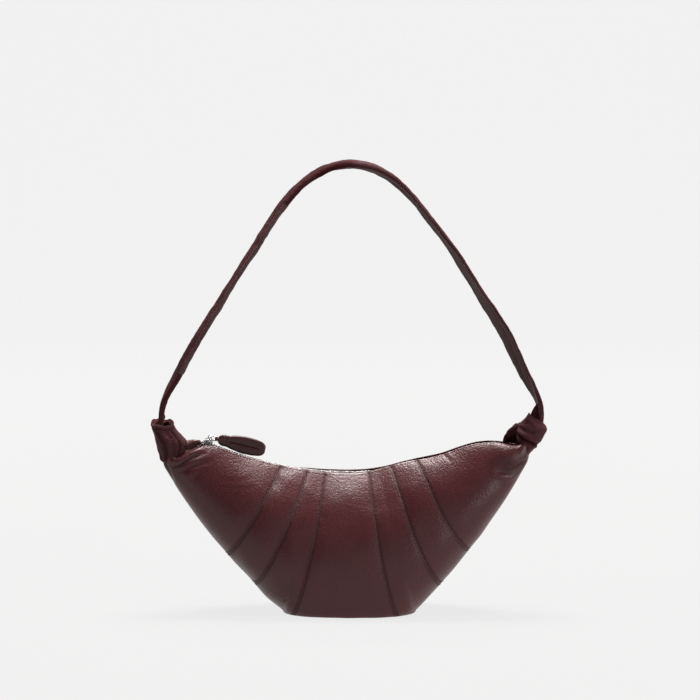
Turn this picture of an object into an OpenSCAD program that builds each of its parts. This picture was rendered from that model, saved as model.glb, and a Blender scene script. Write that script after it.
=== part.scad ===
// Half moon bag: a small leather handbag of seven fanned gores at the front and seven at the
// back, sewn to a flat base, with a zipped mouth along the arched top and one soft strap that
// is tied on at a knot at each end.
//
// Millimetres. The origin is the middle of the base on the table, +X is right, +Y is to the
// back and +Z is up.
//
// All seams fan out from one point above the mouth, so the leather is worked out in fan
// coordinates: an angle from straight down (positive to the right) and a distance from the fan
// point. In each plane of the fan the leather follows one section: a quarter ellipse from the
// bottom out to the belly, then a curve that leans in to the zip.
//
// The mouth opens with the zip. A real bag bends there. Here the top of each side is a rigid
// flap that hinges along a line below the mouth, so each gore has a lower and an upper solid.

/* [Bag body] */
// Height of the point that the seams fan out from
fan_z = 254; // [250:1:258]
// Height of the lowest point of the mouth
mouth_z = 140; // [136:1:144]
// Radius of the arc that the mouth and the zip follow
mouth_r = 350; // [330:5:370]
// Half of the depth of the bag at its belly
belly_y = 50; // [46:1:54]
// Half of the depth of the base
base_y = 42; // [38:1:44]
// Half of the width of the base
base_x = 66; // [62:1:69]
// Sideways lean of the soft sides
lean = 5; // [0:0.5:6]
// Height of each gore's crown over its seams
crown = 1.5; // [0:0.1:2.5]
// Thickness of the leather
leather_t = 1.2; // [1:0.1:1.4]
// Thickness of the lining
lining_t = 0.6; // [0.4:0.1:0.8]

/* [Mouth and zip] */
// Half of the gap between the leather edges along the zip
edge_y = 8; // [7.6:0.2:9]
// Height of the line that the two flaps hinge along
hinge_z = 104; // [103:0.5:106]
// Half of the channel between the two rows of teeth
channel_y = 0.6; // [0.5:0.05:0.8]
// How far from the middle the slider rests, at the left end
slider_x = 141.5; // [138:0.5:143]
// Angle of the puller above the zip at rest
puller_lift = 10.85; // [10.5:0.05:14]

/* [Strap] */
// Height of the top of the strap's centre line
strap_top_z = 448; // [430:1:470]
// Height of the axis that the strap swings about
strap_axis_z = 204.5; // [203.5:0.5:206.5]
// How far from the middle the strap meets each knot
strap_foot_x = 187.5; // [186:0.5:189]
// Width of the folded strap
strap_w = 20; // [16:1:22]
// Thickness of the folded strap
strap_t = 4.6; // [4:0.2:5.4]

/* [Hidden] */
$fn = 32;
seams = [-64, -32.3, -22.2, -11.9, 11.9, 22.2, 32.3, 64];
end_angle = seams[7];
mouth_cz = mouth_z + mouth_r;
// Gap between solids that move past each other, and between solids that only lie close
gap = 0.3;
near = 0.1;
// Share of the section's length, from the bottom, where the belly is widest
belly_at = 0.4;
// How sharply the section leans in above the belly
lean_in = 1.9;
// Half depth of the bag where it goes into a knot
neck_y = 10;
neck_from = 54;
neck_drop = 14;
// The side of the silhouette: start, middle and end of one quadratic curve
side_mid = [147, 79];
side_end = [190.8, 164.7];
// The corner of the base, as an angle of the fan
base_angle = atan(base_x / fan_z);
base_round = 2.6;
// Angles of the columns near a corner of the base, measured outwards from the corner
corner_steps = [-1.6, -0.8, -0.3, 0, 2, 4];
// Angular reach of the groove beside a seam
groove = 5;
// The flaps end at this distance from the middle, where the third seam meets the hinge line
flap_x = (fan_z - hinge_z) * tan(seams[6]);
low_rows = [0, 18, 36, 54, 72, 90];
high_rows = [0.25, 0.5, 0.75, 1];

board_t = 2;
board_inset = 4;
base_gap = 0.6;
// Space between the leather and the lining, and the angle of the fan that the lining ends at
lining_gap = 0.8;
lining_end = 42;

teeth_w = 2.4;
teeth_up = 1.6;
teeth_down = 0.8;
tape_t = 0.8;
zip_end_x = 152;
// Half of the gap in the zip where a flap ends, so that the flap can rise past the rest
zip_gap = 0.6;
stop_x = 148;
stop_l = 3;
stop_h = 1;
stop_over = 2;
slider_angle = asin(slider_x / mouth_r);
slider_l = 10;
slider_w = 8.4;
top_plate = [3.4, 2.2];
low_plate = [-1.4, -2.4];
wedge_l = 3;
wedge_gap = 0.2;
pin_up = 5.8;
pin_r = 0.65;
cheek_t = 1;
cheek_r = 2;
eye_r = 1.9;
eye_bore_r = 0.95;
link_l = 5.5;
ring_r = 2.6;
ring_bore_r = 1.6;
link_t = 2.6;
link_bar = 2;
// The puller, measured from the ring: a strand through it, two ears, a wrap and a leaf
strand_r = 1.1;
ear_r = 2.2;
ear_t = 1;
ear_l = 4;
neck_l = 3.2;
neck_h = 6;
collar_l = 6.5;
wrap_l = 13;
wrap_h = 12;
puller_t = 5;
leaf_t = 4.4;
leaf_l = 52;
leaf_h = 16;
leaf_wide_at = 33;
leaf_tip_r = 5;
slit_from = 17;
slit_to = 43;
slit_r = 0.8;

knot_h = 44;
knot_r = 14.5;
knot_rim_r = 10.5;
knot_foot_r = 7;
knot_fullness = 0.7;
knot_tilt = 7;
knot_foot = [182.5, 148.5];
right_knot_up = 4;
sleeve_t = 1.6;
stem_r = 3.4;
stem_gap = 1.4;
hub_r = 4;
hub_l = 7;
// The loop behind the right knot: where it is, how thick, and its outline
back_loop_at = [162, 6.5, 164.5];
back_loop_t = 4;
back_loop = [[0, 3], [-4, 8], [0, 16], [10, 24], [14, 20], [9, 6]];
// Handles of the curve that half of the strap's centre line follows
strap_top_handle = 45;
strap_low_handle = [105, -62];
// Share of that line over which the strap narrows to its foot
strap_narrow = 0.16;
// The strap turns over by twice this angle, left of its top
strap_turn = 22;
turn_at = -0.06;
turn_over = 0.3;

// The shape of the leather

// Distance from the fan point to the arc of the mouth along a ray of the fan
function mouth_reach(a) = let (d = mouth_cz - fan_z, c = d * cos(a))
    -c + sqrt(c * c + mouth_r * mouth_r - d * d);

// Distance to the leather's top edge, which drops below the arc as it nears a knot
function top_reach(a) = let (t = max(0, (abs(a) - neck_from) / (end_angle - neck_from)))
    mouth_reach(a) + neck_drop * t * t;

// Signed distance of a point of the silhouette from a ray of the fan
function off_ray(p, b) = p[0] * cos(b) - (fan_z - p[1]) * sin(b);

// Distance to the silhouette's side, where the ray cuts its quadratic curve
function side_reach(a) = let (
        b = abs(a),
        s = a < 0 ? lean : -lean,
        p0 = [base_x, 0], p1 = side_mid + [s, 0], p2 = side_end + [s, 0],
        g0 = off_ray(p0, b), g1 = off_ray(p1, b), g2 = off_ray(p2, b),
        k = 2 * (g1 - g0),
        t = -2 * g0 / (k + sqrt(k * k - 4 * (g0 - 2 * g1 + g2) * g0)),
        p = p0 * pow(1 - t, 2) + p1 * 2 * t * (1 - t) + p2 * t * t)
    norm([p[0], fan_z - p[1]]);

// Distance to the bottom edge: the flat base, then the sides
function bottom_reach(a) = abs(a) <= base_angle ? fan_z / cos(a) : side_reach(a);

// Half depth at the bottom edge: the rounded outline of the base, then nothing
function bottom_y(a) = let (x = min(1, abs(fan_z * tan(a)) / base_x))
    base_y * pow(1 - pow(x, base_round), 1 / base_round);

// Half depth at the belly
function belly_depth(a) = neck_y + (belly_y - neck_y) * cos(90 * a / end_angle);

function belly_reach(a) = bottom_reach(a) - belly_at * (bottom_reach(a) - top_reach(a));

// Each gore swells a little between its seams
function swell(a) = crown * sin(90 * min(1, min([for (i = [1:6]) abs(a - seams[i])]) / groove));

// A point of the section below the belly, moved in by d along its normal: [reach, half depth]
function low_point(a, q, d) = let (
        reach = bottom_reach(a) - belly_reach(a),
        depth = belly_depth(a) - bottom_y(a),
        n = [cos(q) / reach, sin(q) / depth],
        m = n / norm(n))
    [belly_reach(a) + reach * cos(q) - d * m[0],
     max(0, bottom_y(a) + depth * sin(q) + swell(a) * sin(q) - d * m[1])];

// The same above the belly, where u runs from 0 at the belly to 1 at the top edge
function high_point(a, u, d) = let (
        reach = belly_reach(a) - top_reach(a),
        depth = belly_depth(a) - edge_y,
        n = [-lean_in * depth * pow(u, lean_in - 1), reach],
        m = n / norm(n))
    [belly_reach(a) - reach * u - d * m[0],
     edge_y + depth * (1 - pow(u, lean_in)) + swell(a) * (1 - u * u) - d * m[1]];

// Where a level plane cuts the section above the belly
function level_share(a, z) =
    (belly_reach(a) - (fan_z - z) / cos(a)) / (belly_reach(a) - top_reach(a));

// A fan point in space: side is -1 for the front and 1 for the back
function in_space(p, a, side) = [p[0] * sin(a), side * p[1], fan_z - p[0] * cos(a)];

// One column of the leather at angle a, from the bottom to share u of the upper part
function low_column(a, u, d) = concat(
    [for (q = low_rows) low_point(a, q, d)],
    [for (k = high_rows) high_point(a, k * u, d)]);

function high_column(a, u, d) = [for (k = concat([0], high_rows)) high_point(a, u + (1 - u) * k, d)];

// The angles of one gore's columns
function gore_angles(i) = let (a = seams[i - 1], b = seams[i])
    i == 1 || i == 7 ? [for (k = [0:8]) a + (b - a) * k / 8] :
    i == 3 ? concat([a], [for (k = [5:-1:0]) -base_angle - corner_steps[k]], [b]) :
    i == 4 ? [a, -10.7, -9.4, -7.6, -5, 0, 5, 7.6, 9.4, 10.7, b] :
    i == 5 ? concat([a], [for (s = corner_steps) base_angle + s], [b]) :
    [for (k = [0:4]) a + (b - a) * k / 4];

// A closed shell between two grids of points with the same number of rows in each column
module shell(outer, inner, flip) {
    cols = len(outer);
    rows = len(outer[0]);
    n = cols * rows;
    function id(c, r, s) = s * n + c * rows + r;
    grid = [for (c = [0:cols - 2], r = [0:rows - 2])
        each [[id(c, r, 0), id(c, r + 1, 0), id(c + 1, r + 1, 0)],
              [id(c, r, 0), id(c + 1, r + 1, 0), id(c + 1, r, 0)],
              [id(c, r, 1), id(c + 1, r + 1, 1), id(c, r + 1, 1)],
              [id(c, r, 1), id(c + 1, r, 1), id(c + 1, r + 1, 1)]]];
    ends = [for (r = [0:rows - 2])
        each [[id(0, r, 0), id(0, r, 1), id(0, r + 1, 1)],
              [id(0, r, 0), id(0, r + 1, 1), id(0, r + 1, 0)],
              [id(cols - 1, r, 0), id(cols - 1, r + 1, 1), id(cols - 1, r, 1)],
              [id(cols - 1, r, 0), id(cols - 1, r + 1, 0), id(cols - 1, r + 1, 1)]]];
    rims = [for (c = [0:cols - 2])
        each [[id(c, 0, 0), id(c + 1, 0, 1), id(c, 0, 1)],
              [id(c, 0, 0), id(c + 1, 0, 0), id(c + 1, 0, 1)],
              [id(c, rows - 1, 0), id(c, rows - 1, 1), id(c + 1, rows - 1, 1)],
              [id(c, rows - 1, 0), id(c + 1, rows - 1, 1), id(c + 1, rows - 1, 0)]]];
    faces = concat(grid, ends, rims);
    polyhedron(
        points = concat([for (col = outer) each col], [for (col = inner) each col]),
        faces = flip ? [for (f = faces) [f[0], f[2], f[1]]] : faces);
}

// The leather between depths d0 and d1, over a list of angles, up to a level or the top edge
module low_leather(angles, side, d0, d1, level) {
    function share(a) = level ? level_share(a, hinge_z - gap / 2) : 1;
    shell([for (a = angles) [for (p = low_column(a, share(a), d0)) in_space(p, a, side)]],
          [for (a = angles) [for (p = low_column(a, share(a), d1)) in_space(p, a, side)]],
          side > 0);
}

module high_leather(angles, side, d0, d1) {
    function share(a) = level_share(a, hinge_z + gap / 2);
    shell([for (a = angles) [for (p = high_column(a, share(a), d0)) in_space(p, a, side)]],
          [for (a = angles) [for (p = high_column(a, share(a), d1)) in_space(p, a, side)]],
          side > 0);
}

// The block of space that a flap moves with, smaller or larger by the gap
module flap_block(side, grow) {
    half = flap_x + grow;
    low = hinge_z - grow;
    translate([-half, side < 0 ? -2 * belly_y : 0, low])
        cube([2 * half, 2 * belly_y, mouth_z]);
}

module gore(i, side) {
    color(i % 2 == 0 ? "rosybrown" : "sienna")
        if (i == 1 || i == 7)
            difference() {
                low_leather(gore_angles(i), side, 0, leather_t, false);
                flap_block(side, gap / 2);
            }
        else
            low_leather(gore_angles(i), side, 0, leather_t, true);
}

module gore_top(i, side) {
    color(i % 2 == 0 ? "burlywood" : "peru")
        if (i == 1 || i == 7)
            intersection() {
                low_leather(gore_angles(i), side, 0, leather_t, false);
                flap_block(side, -gap / 2);
            }
        else
            high_leather(gore_angles(i), side, 0, leather_t);
}

// The base and the lining

// The angles of the columns that stand on the base, from its left end to its right end
base_columns = concat(
    [for (a = gore_angles(3)) if (a >= -base_angle) a],
    [for (a = gore_angles(4)) if (abs(a) < seams[4]) a],
    [for (a = gore_angles(5)) if (a <= base_angle) a]);

// The outline of the base, drawn in by an inset
module base_outline(inset) {
    wide = (base_x - inset) / base_x;
    deep = (base_y - inset) / base_y;
    edge = [for (a = base_columns) [wide * fan_z * tan(a), deep * bottom_y(a)]];
    polygon(concat(edge, [for (k = [len(edge) - 2:-1:1]) [edge[k][0], -edge[k][1]]]));
}

module base_panel() {
    color("saddlebrown")
        linear_extrude(leather_t)
            base_outline(base_gap);
}

module base_board() {
    color("tan")
        translate([0, 0, leather_t])
            linear_extrude(board_t)
                base_outline(board_inset);
}

module base_lining() {
    color("gray")
        translate([0, 0, leather_t + board_t])
            linear_extrude(lining_t)
                base_outline(board_inset);
}

lining_in = leather_t + lining_gap;
lining_out = lining_in + lining_t;
lining_core = [for (i = [2:6]) let (g = gore_angles(i)) for (k = [0:len(g) - 2]) g[k]];
lining_side = [for (k = [0:3]) seams[6] + (lining_end - seams[6]) * k / 3];

// One column of the lining, up to the hinge line, which lies below the belly at the sides
function lining_column(a, d) = let (
        level = hinge_z - gap / 2,
        u = level_share(a, level),
        drop = (fan_z - level) / cos(a) - belly_reach(a),
        last = acos(min(1, max(0, drop / (bottom_reach(a) - belly_reach(a))))))
    u >= 0 ? low_column(a, u, d) : [for (k = [0:9]) low_point(a, last * k / 9, d)];

module lining(side) {
    angles = concat([for (k = [3:-1:1]) -lining_side[k]], lining_core, lining_side);
    color("gray")
        shell([for (a = angles) [for (p = lining_column(a, lining_in)) in_space(p, a, side)]],
              [for (a = angles) [for (p = lining_column(a, lining_out)) in_space(p, a, side)]],
              side > 0);
}

module lining_top(side) {
    color("darkgray")
        high_leather(concat(lining_core, [seams[6]]), side, lining_in, lining_out);
}

// The zip

// A bar along the mouth's arc between two distances from the middle. The heights are measured
// from the arc towards its centre, and the depths from the middle plane.
module arc_bar(x0, x1, up0, up1, y0, y1) {
    a0 = asin(x0 / mouth_r);
    a1 = asin(x1 / mouth_r);
    translate([0, 0, mouth_cz])
        rotate([90, 0, 0])
            rotate([0, 0, a0 - 90])
                rotate_extrude(angle = a1 - a0, $fn = 180)
                    translate([mouth_r - up1, -y1])
                        square([up1 - up0, y1 - y0]);
}

// The same bar at the front or at the back
module zip_bar(side, x0, x1, up0, up1, y0, y1) {
    arc_bar(x0, x1, up0, up1, side < 0 ? -y1 : y0, side < 0 ? -y0 : y1);
}

module zip_tape(side, x0, x1) {
    zip_bar(side, x0, x1, -tape_t / 2, tape_t / 2, channel_y + teeth_w, edge_y - leather_t);
}

module zip_teeth(side, x0, x1) {
    zip_bar(side, x0, x1, -teeth_down, teeth_up, channel_y, channel_y + teeth_w);
}

flap_end = flap_x - zip_gap;
rest_start = flap_x + zip_gap;

module flap_zip_tape(side) {
    color("dimgray")
        zip_tape(side, -flap_end, flap_end);
}

module flap_zip_teeth(side) {
    color("silver")
        zip_teeth(side, -flap_end, flap_end);
}

module end_zip_tapes() {
    color("dimgray")
        for (side = [-1, 1]) {
            zip_tape(side, -zip_end_x, -rest_start);
            zip_tape(side, rest_start, zip_end_x);
        }
}

module end_zip_teeth() {
    color("silver")
        for (side = [-1, 1]) {
            zip_teeth(side, -zip_end_x, -rest_start);
            zip_teeth(side, rest_start, zip_end_x);
        }
}

module zip_stops() {
    color("gainsboro")
        for (x = [-stop_x, stop_x])
            arc_bar(x - stop_l / 2, x + stop_l / 2, teeth_up, teeth_up + stop_h,
                    -channel_y - stop_over, channel_y + stop_over);
}

// The slider and its puller

// Moves its children from the arc's lowest point to the slider's place
module at_slider() {
    translate([0, 0, mouth_cz])
        rotate([0, slider_angle, 0])
            translate([0, 0, -mouth_r])
                children();
}

// Moves its children from the origin to the puller's first pin, turned as the puller rests
module at_pin() {
    at_slider()
        translate([0, 0, pin_up])
            rotate([0, -puller_lift, 0])
                children();
}

// A straight cylinder along Y
module rod(r, l) {
    rotate([90, 0, 0])
        cylinder(r = r, h = l, center = true);
}

module slider() {
    cheek_y = link_t / 2 + gap;
    color("gainsboro")
        at_slider() {
            for (plate = [top_plate, low_plate])
                translate([-slider_l / 2, -slider_w / 2, plate[1]])
                    cube([slider_l, slider_w, plate[0] - plate[1]]);
            translate([-wedge_l / 2, -channel_y + wedge_gap, low_plate[1]])
                cube([wedge_l, 2 * (channel_y - wedge_gap), top_plate[0] - low_plate[1]]);
            for (side = [-1, 1])
                translate([0, side * (cheek_y + cheek_t / 2), 0]) {
                    translate([-cheek_r, -cheek_t / 2, top_plate[0]])
                        cube([2 * cheek_r, cheek_t, pin_up - top_plate[0]]);
                    translate([0, 0, pin_up])
                        rod(cheek_r, cheek_t);
                }
            translate([0, 0, pin_up])
                rod(pin_r, 2 * cheek_y + cheek_t);
        }
}

module pull_link() {
    color("silver")
        at_pin()
            difference() {
                union() {
                    rod(eye_r, link_t);
                    translate([link_l, 0, 0])
                        rod(ring_r, link_t);
                    translate([0, -link_t / 2, -link_bar / 2])
                        cube([link_l, link_t, link_bar]);
                }
                rod(eye_bore_r, 2 * link_t);
                translate([link_l, 0, 0])
                    rod(ring_bore_r, 2 * link_t);
            }
}

// The leather strand through the ring, and the wrap that closes the puller's neck
module puller_wrap() {
    ear_y = link_t / 2 + gap;
    color("saddlebrown")
        at_pin()
            translate([link_l, 0, 0]) {
                rod(strand_r, 2 * ear_y + ear_t);
                for (side = [-1, 1])
                    translate([0, side * (ear_y + ear_t / 2), 0]) {
                        rod(ear_r, ear_t);
                        translate([0, -ear_t / 2, -ear_r])
                            cube([ear_l, ear_t, 2 * ear_r]);
                    }
                rotate([90, 0, 0])
                    linear_extrude(puller_t, center = true)
                        polygon([[neck_l, -neck_h / 2], [collar_l, -wrap_h / 2],
                                 [wrap_l, -wrap_h / 2], [wrap_l, wrap_h / 2],
                                 [collar_l, wrap_h / 2], [neck_l, neck_h / 2]]);
            }
}

// The rounded outline of the puller's leaf, from the wrap to its tip
module leaf() {
    hull() {
        translate([wrap_l, 1 - wrap_h / 2])
            square([1, wrap_h - 2]);
        translate([leaf_wide_at, 0])
            circle(r = leaf_h / 2);
        translate([leaf_l - leaf_tip_r, 0])
            circle(r = leaf_tip_r);
    }
}

// A strand of leather folded back beside itself, with a slit between its two halves
module puller_loop() {
    color("sienna")
        at_pin()
            translate([link_l, 0, 0])
                rotate([90, 0, 0])
                    linear_extrude(leaf_t, center = true)
                        difference() {
                            leaf();
                            hull()
                                for (x = [slit_from, slit_to])
                                    translate([x, 0])
                                        circle(r = slit_r);
                        }
}

// The knots and the strap

// Radius of a knot at share t of its height
function knot_radius(t) = let (base = knot_foot_r + (knot_rim_r - knot_foot_r) * t)
    base + (knot_r - (knot_foot_r + knot_rim_r) / 2) * pow(sin(180 * t), knot_fullness);

// The solid outer form of a knot, standing on its foot, made thicker by grow
module knot_form(grow) {
    rotate_extrude($fn = 48)
        polygon(concat(
            [[0, 0]],
            [for (k = [0:12]) [knot_radius(k / 12) + grow, knot_h * k / 12]],
            [[0, knot_h]]));
}

// Moves its children to a knot: hand is -1 for the left and 1 for the right
module at_knot(hand) {
    translate([hand * knot_foot[0], 0, knot_foot[1] + (hand > 0 ? right_knot_up : 0)])
        rotate([0, hand * knot_tilt, 0])
            children();
}

// The wedge of the fan that the bag fills beside a knot
module bag_end(hand) {
    reach = side_reach(hand * end_angle) + near;
    wide = 80;
    top = 100;
    translate([0, 0, fan_z])
        rotate([0, -hand * end_angle, 0])
            translate([hand > 0 ? -wide : 0, -belly_y, -reach])
                cube([wide, 2 * belly_y, reach - top]);
}

module knot(hand, mouth_depth) {
    color("brown")
        difference() {
            at_knot(hand)
                difference() {
                    knot_form(0);
                    translate([0, 0, knot_h - mouth_depth])
                        cylinder(r = knot_rim_r - sleeve_t, h = knot_h);
                }
            bag_end(hand);
        }
}

// The strap's end stands up out of the knot, to just below the strap's axis
module stem(hand, mouth_depth) {
    start_z = knot_foot[1] + (hand > 0 ? right_knot_up : 0) + knot_h - mouth_depth - stem_r;
    color("maroon")
        difference() {
            translate([hand * strap_foot_x, 0, start_z])
                cylinder(r = stem_r, h = strap_axis_z - hub_r - stem_gap - start_z);
            at_knot(hand)
                translate([0, 0, -knot_h])
                    cylinder(r = 2 * knot_r, h = 2 * knot_h - mouth_depth);
        }
}

// The turned-back end of the strap behind the right knot
module right_back_loop() {
    color("darkred")
        difference() {
            translate(back_loop_at)
                rotate([90, 0, 0])
                    linear_extrude(back_loop_t)
                        polygon(back_loop);
            at_knot(1)
                knot_form(near);
            bag_end(1);
        }
}

// Half of the strap's centre line, from the top at t = 0 to its foot at t = 1
function strap_point(t) =
    [0, strap_top_z] * pow(1 - t, 3)
    + [strap_top_handle, strap_top_z] * 3 * pow(1 - t, 2) * t
    + ([0, strap_top_z] + strap_low_handle) * 3 * (1 - t) * t * t
    + [strap_foot_x, strap_axis_z] * pow(t, 3);

// The whole centre line, with s from -1 at the left foot to 1 at the right foot
function strap_line(s) = let (p = strap_point(abs(s))) [s < 0 ? -p[0] : p[0], 0, p[1]];

// Half of the strap's width narrows towards its feet
function strap_half_w(s) = let (t = min(1, (1 - abs(s)) / strap_narrow))
    stem_r + (strap_w / 2 - stem_r) * t * t * (3 - 2 * t);

// The strap's roll about its own line, which fades to nothing at its feet
function strap_roll(s) = let (t = max(0, min(1, 0.5 + (s - turn_at) / turn_over)))
    strap_turn * (1 - 2 * t * t * (3 - 2 * t)) * min(1, 10 * (1 - abs(s)));

strap_rings = 56;
strap_section = [for (q = [0:45:315])
    [pow(abs(cos(q)), 0.6) * sign(cos(q)), pow(abs(sin(q)), 0.6) * sign(sin(q))]];

function strap_ring(s) = let (
        p = strap_line(s),
        step = 0.005,
        d = strap_line(min(1, s + step)) - strap_line(max(-1, s - step)),
        side = [-d[2], 0, d[0]] / norm(d),
        c = cos(strap_roll(s)), w = sin(strap_roll(s)),
        wide = [0, c, 0] + side * w,
        thick = side * c - [0, w, 0])
    [for (k = strap_section) p + wide * k[0] * strap_half_w(s) + thick * k[1] * strap_t / 2];

module strap() {
    n = len(strap_section);
    last = strap_rings;
    color("darkred") {
        polyhedron(
            points = [for (i = [0:last]) each strap_ring(-1 + 2 * i / last)],
            faces = concat(
                [for (i = [0:last - 1], k = [0:n - 1]) let (j = (k + 1) % n)
                    each [[i * n + k, (i + 1) * n + j, i * n + j],
                          [i * n + k, (i + 1) * n + k, (i + 1) * n + j]]],
                [[for (k = [0:n - 1]) k]],
                [[for (k = [n - 1:-1:0]) last * n + k]]));
        for (x = [-strap_foot_x, strap_foot_x])
            translate([x, 0, strap_axis_z])
                rotate([0, 90, 0])
                    cylinder(r = hub_r, h = hub_l, center = true);
    }
}

// One line for each piece
base_panel();
base_board();
for (i = [1:7]) {
    gore(i, -1);
    gore(i, 1);
    gore_top(i, -1);
    gore_top(i, 1);
}
lining(-1);  // front_lining
lining(1);  // back_lining
base_lining();
lining_top(-1);  // front_lining_top
lining_top(1);  // back_lining_top
flap_zip_tape(-1);  // front_zip_tape
flap_zip_tape(1);  // back_zip_tape
end_zip_tapes();
flap_zip_teeth(-1);  // front_zip_teeth
flap_zip_teeth(1);  // back_zip_teeth
end_zip_teeth();
zip_stops();
slider();
pull_link();
puller_wrap();
puller_loop();
knot(-1, 8);  // left_knot
knot(1, 2);  // right_knot
stem(-1, 8);  // left_stem
stem(1, 2);  // right_stem
right_back_loop();
strap();
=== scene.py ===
"""Half moon bag: the leather, lining, zip, puller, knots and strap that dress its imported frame."""
import math
from itertools import product

import bpy
import numpy as np
from bpy.props import FloatProperty, FloatVectorProperty, PointerProperty
from mathutils import Matrix, Vector


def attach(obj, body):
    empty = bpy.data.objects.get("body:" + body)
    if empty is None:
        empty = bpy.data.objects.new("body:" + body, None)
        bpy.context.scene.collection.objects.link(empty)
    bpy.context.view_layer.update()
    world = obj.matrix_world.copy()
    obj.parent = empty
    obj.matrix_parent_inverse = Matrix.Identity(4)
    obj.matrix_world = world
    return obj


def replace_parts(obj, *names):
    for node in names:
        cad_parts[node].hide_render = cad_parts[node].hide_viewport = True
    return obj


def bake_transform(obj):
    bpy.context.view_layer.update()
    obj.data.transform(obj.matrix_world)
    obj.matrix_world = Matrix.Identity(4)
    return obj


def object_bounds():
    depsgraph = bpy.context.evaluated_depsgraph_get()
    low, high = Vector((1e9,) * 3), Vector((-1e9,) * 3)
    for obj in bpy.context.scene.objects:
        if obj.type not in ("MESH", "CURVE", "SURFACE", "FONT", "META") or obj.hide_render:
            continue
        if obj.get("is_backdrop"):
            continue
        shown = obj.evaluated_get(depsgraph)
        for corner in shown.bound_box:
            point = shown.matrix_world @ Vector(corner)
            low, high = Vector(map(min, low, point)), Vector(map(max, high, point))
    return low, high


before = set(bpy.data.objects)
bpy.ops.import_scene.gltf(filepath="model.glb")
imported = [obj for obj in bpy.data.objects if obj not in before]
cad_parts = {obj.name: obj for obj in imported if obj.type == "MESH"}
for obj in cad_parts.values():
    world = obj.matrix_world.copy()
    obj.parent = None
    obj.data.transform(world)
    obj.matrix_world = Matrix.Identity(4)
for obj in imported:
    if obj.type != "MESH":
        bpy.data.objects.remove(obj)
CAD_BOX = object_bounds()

bl_info = {
    "name": "Half moon bag",
    "version": (1, 0, 0),
    "blender": (4, 5, 0),
    "location": "View3D > Sidebar > Bag",
    "description": "Builds the leather, zip and strap of a half moon bag on its packed frame",
    "category": "Add Mesh",
}

# The bag's sizes, in millimetres. Angles are in degrees, from straight down at the point where the
# seams would meet, and a share v runs from 0 at the base to 1 at the mouth's edge.
FAN_Z = 254.0
SEAMS = (-64.0, -32.3, -22.2, -11.9, 11.9, 22.2, 32.3, 64.0)
INNER_SEAMS = SEAMS[1:-1]
# The arc of the mouth
MOUTH_R = 350.0
MOUTH_CZ = 490.0
# Half width and half depth of the base, and how square its outline is
BASE = (66.0, 42.0)
BASE_ROUND = 2.6
BASE_ANGLE = math.degrees(math.atan(BASE[0] / FAN_Z))
# Half depth of the belly in the middle and at its ends, and of the mouth's edge
BELLY_Y = 50.0
NECK_Y = 10.0
EDGE_Y = 8.0
# The belly's share v, its share of the reach, and how late the sides lean in above it
BELLY_V = 0.45
BELLY_AT = 0.4
LEAN_IN = 1.9
# Two points of the outline beside each end, and how far the outline is moved to the left
SIDE_MID = (147.0, 79.0)
SIDE_END = (190.8, 164.7)
LEAN = 5.0
# What changes at the ends of the mouth, by how much, from which angle and over how many degrees:
# its edge sinks, the lower corner beside the knot is rounded off, and both edges close in
END_SINK = (14.0, 54.0, 10.0)
END_DROP = (9.0, 59.0, 5.0)
END_CLOSE = (6.8, 60.8, 2.6)
# How far a seam bows towards the middle of the bag between its ends, and its share by fan angle
SEAM_BOW = 1.1
SEAM_BOW_SHARE = ((0, 11.9, 32.3, 54), (0, 1, 1, 0))
# How far each seam is turned at its top and at the base
SEAM_SHIFT_TOP = (0, 0, 1.8, 0, -2.3, -1.7, 0, 0)
SEAM_SHIFT_BASE = (0, 0, -1.2, -0.9, -1.0, 0.4, 0, 0)
# Distance from a seam, and from the mouth's edge, to the row of stitches beside it
STITCH_AT = 1.7
EDGE_STITCH_AT = 1.8
# How far a stitch's middle stands over the leather
STITCH_UP = 0.08
# Thickness of the leather and the lining, and how deep the lining hangs under the leather's face
LEATHER_T = 1.2
LINING_T = 0.5
LINING_IN = 2.6
# Columns of the leather's mesh: the reach at which they are spaced, their distance, and how far
# those beside a seam are from it
MID_REACH = 205
COLUMN_STEP = 1.7
BESIDE_SEAM = (0, 0.45, 0.9, 1.35, 1.9, 2.5, 3.2, 4.1, 5.2, 6.5)
# How far a row of teeth is from the zip's middle, how far left and right a tooth may be and, in
# metres, the length, width and height of a tooth's foot and of its round head, which is further in
TEETH_Y = 2.0
TEETH_X = (-145, 150)
TOOTH_FOOT = (0.00125, 0.0028, 0.0017)
TOOTH_HEAD = (0.0019, 0.0016, 0.0021)
TOOTH_HEAD_IN = 0.0015
# The angle left of the arc's middle at which the slider rests
SLIDER_ANGLE = math.degrees(math.asin(141.5 / MOUTH_R))
# The pin over the arc, the length of the ring, and how far the puller is lifted at rest
PIN_UP = 5.8
LINK_L = 5.5
PULLER_LIFT = 10.85
# How far the front and the back edge of the mouth stand over the plain arc, by fan angle
EDGE_AT = (-64, -60, -57, -52, -45, -40, -33, -26, -20, -10, 0, 8, 14, 20, 29, 37.6, 45, 49, 52.5,
           56, 60, 64)
FRONT_UP = (0, 0.4, 0.9, 1.0, 1.5, 1.7, 1.7, 1.2, 0.5, 0.0, 0.0, 0.9, 3.2, 5.4, 7.4, 6.6, 7.2, 7.9, 7.4,
            5.6, 2.5, -8)
BACK_UP = (0, -0.6, -0.8, -1.2, -0.8, -0.5, -0.4, 0.1, 0.8, 1.3, 1.5, 1.9, 2.8, 4.2, 6.8, 6.8, 6.9, 7.4,
           6.9, 5.4, 2.5, -3)


def cosd(a):
    return np.cos(np.radians(a))


def sind(a):
    return np.sin(np.radians(a))


def smooth(t):
    """0 below 0, 1 above 1, and a soft ramp between."""
    t = np.clip(t, 0, 1)
    return t * t * (3 - 2 * t)


def bell(d, width):
    """1 at 0, falling to 0 on both sides."""
    return np.exp(-((d / width) ** 2))


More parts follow.
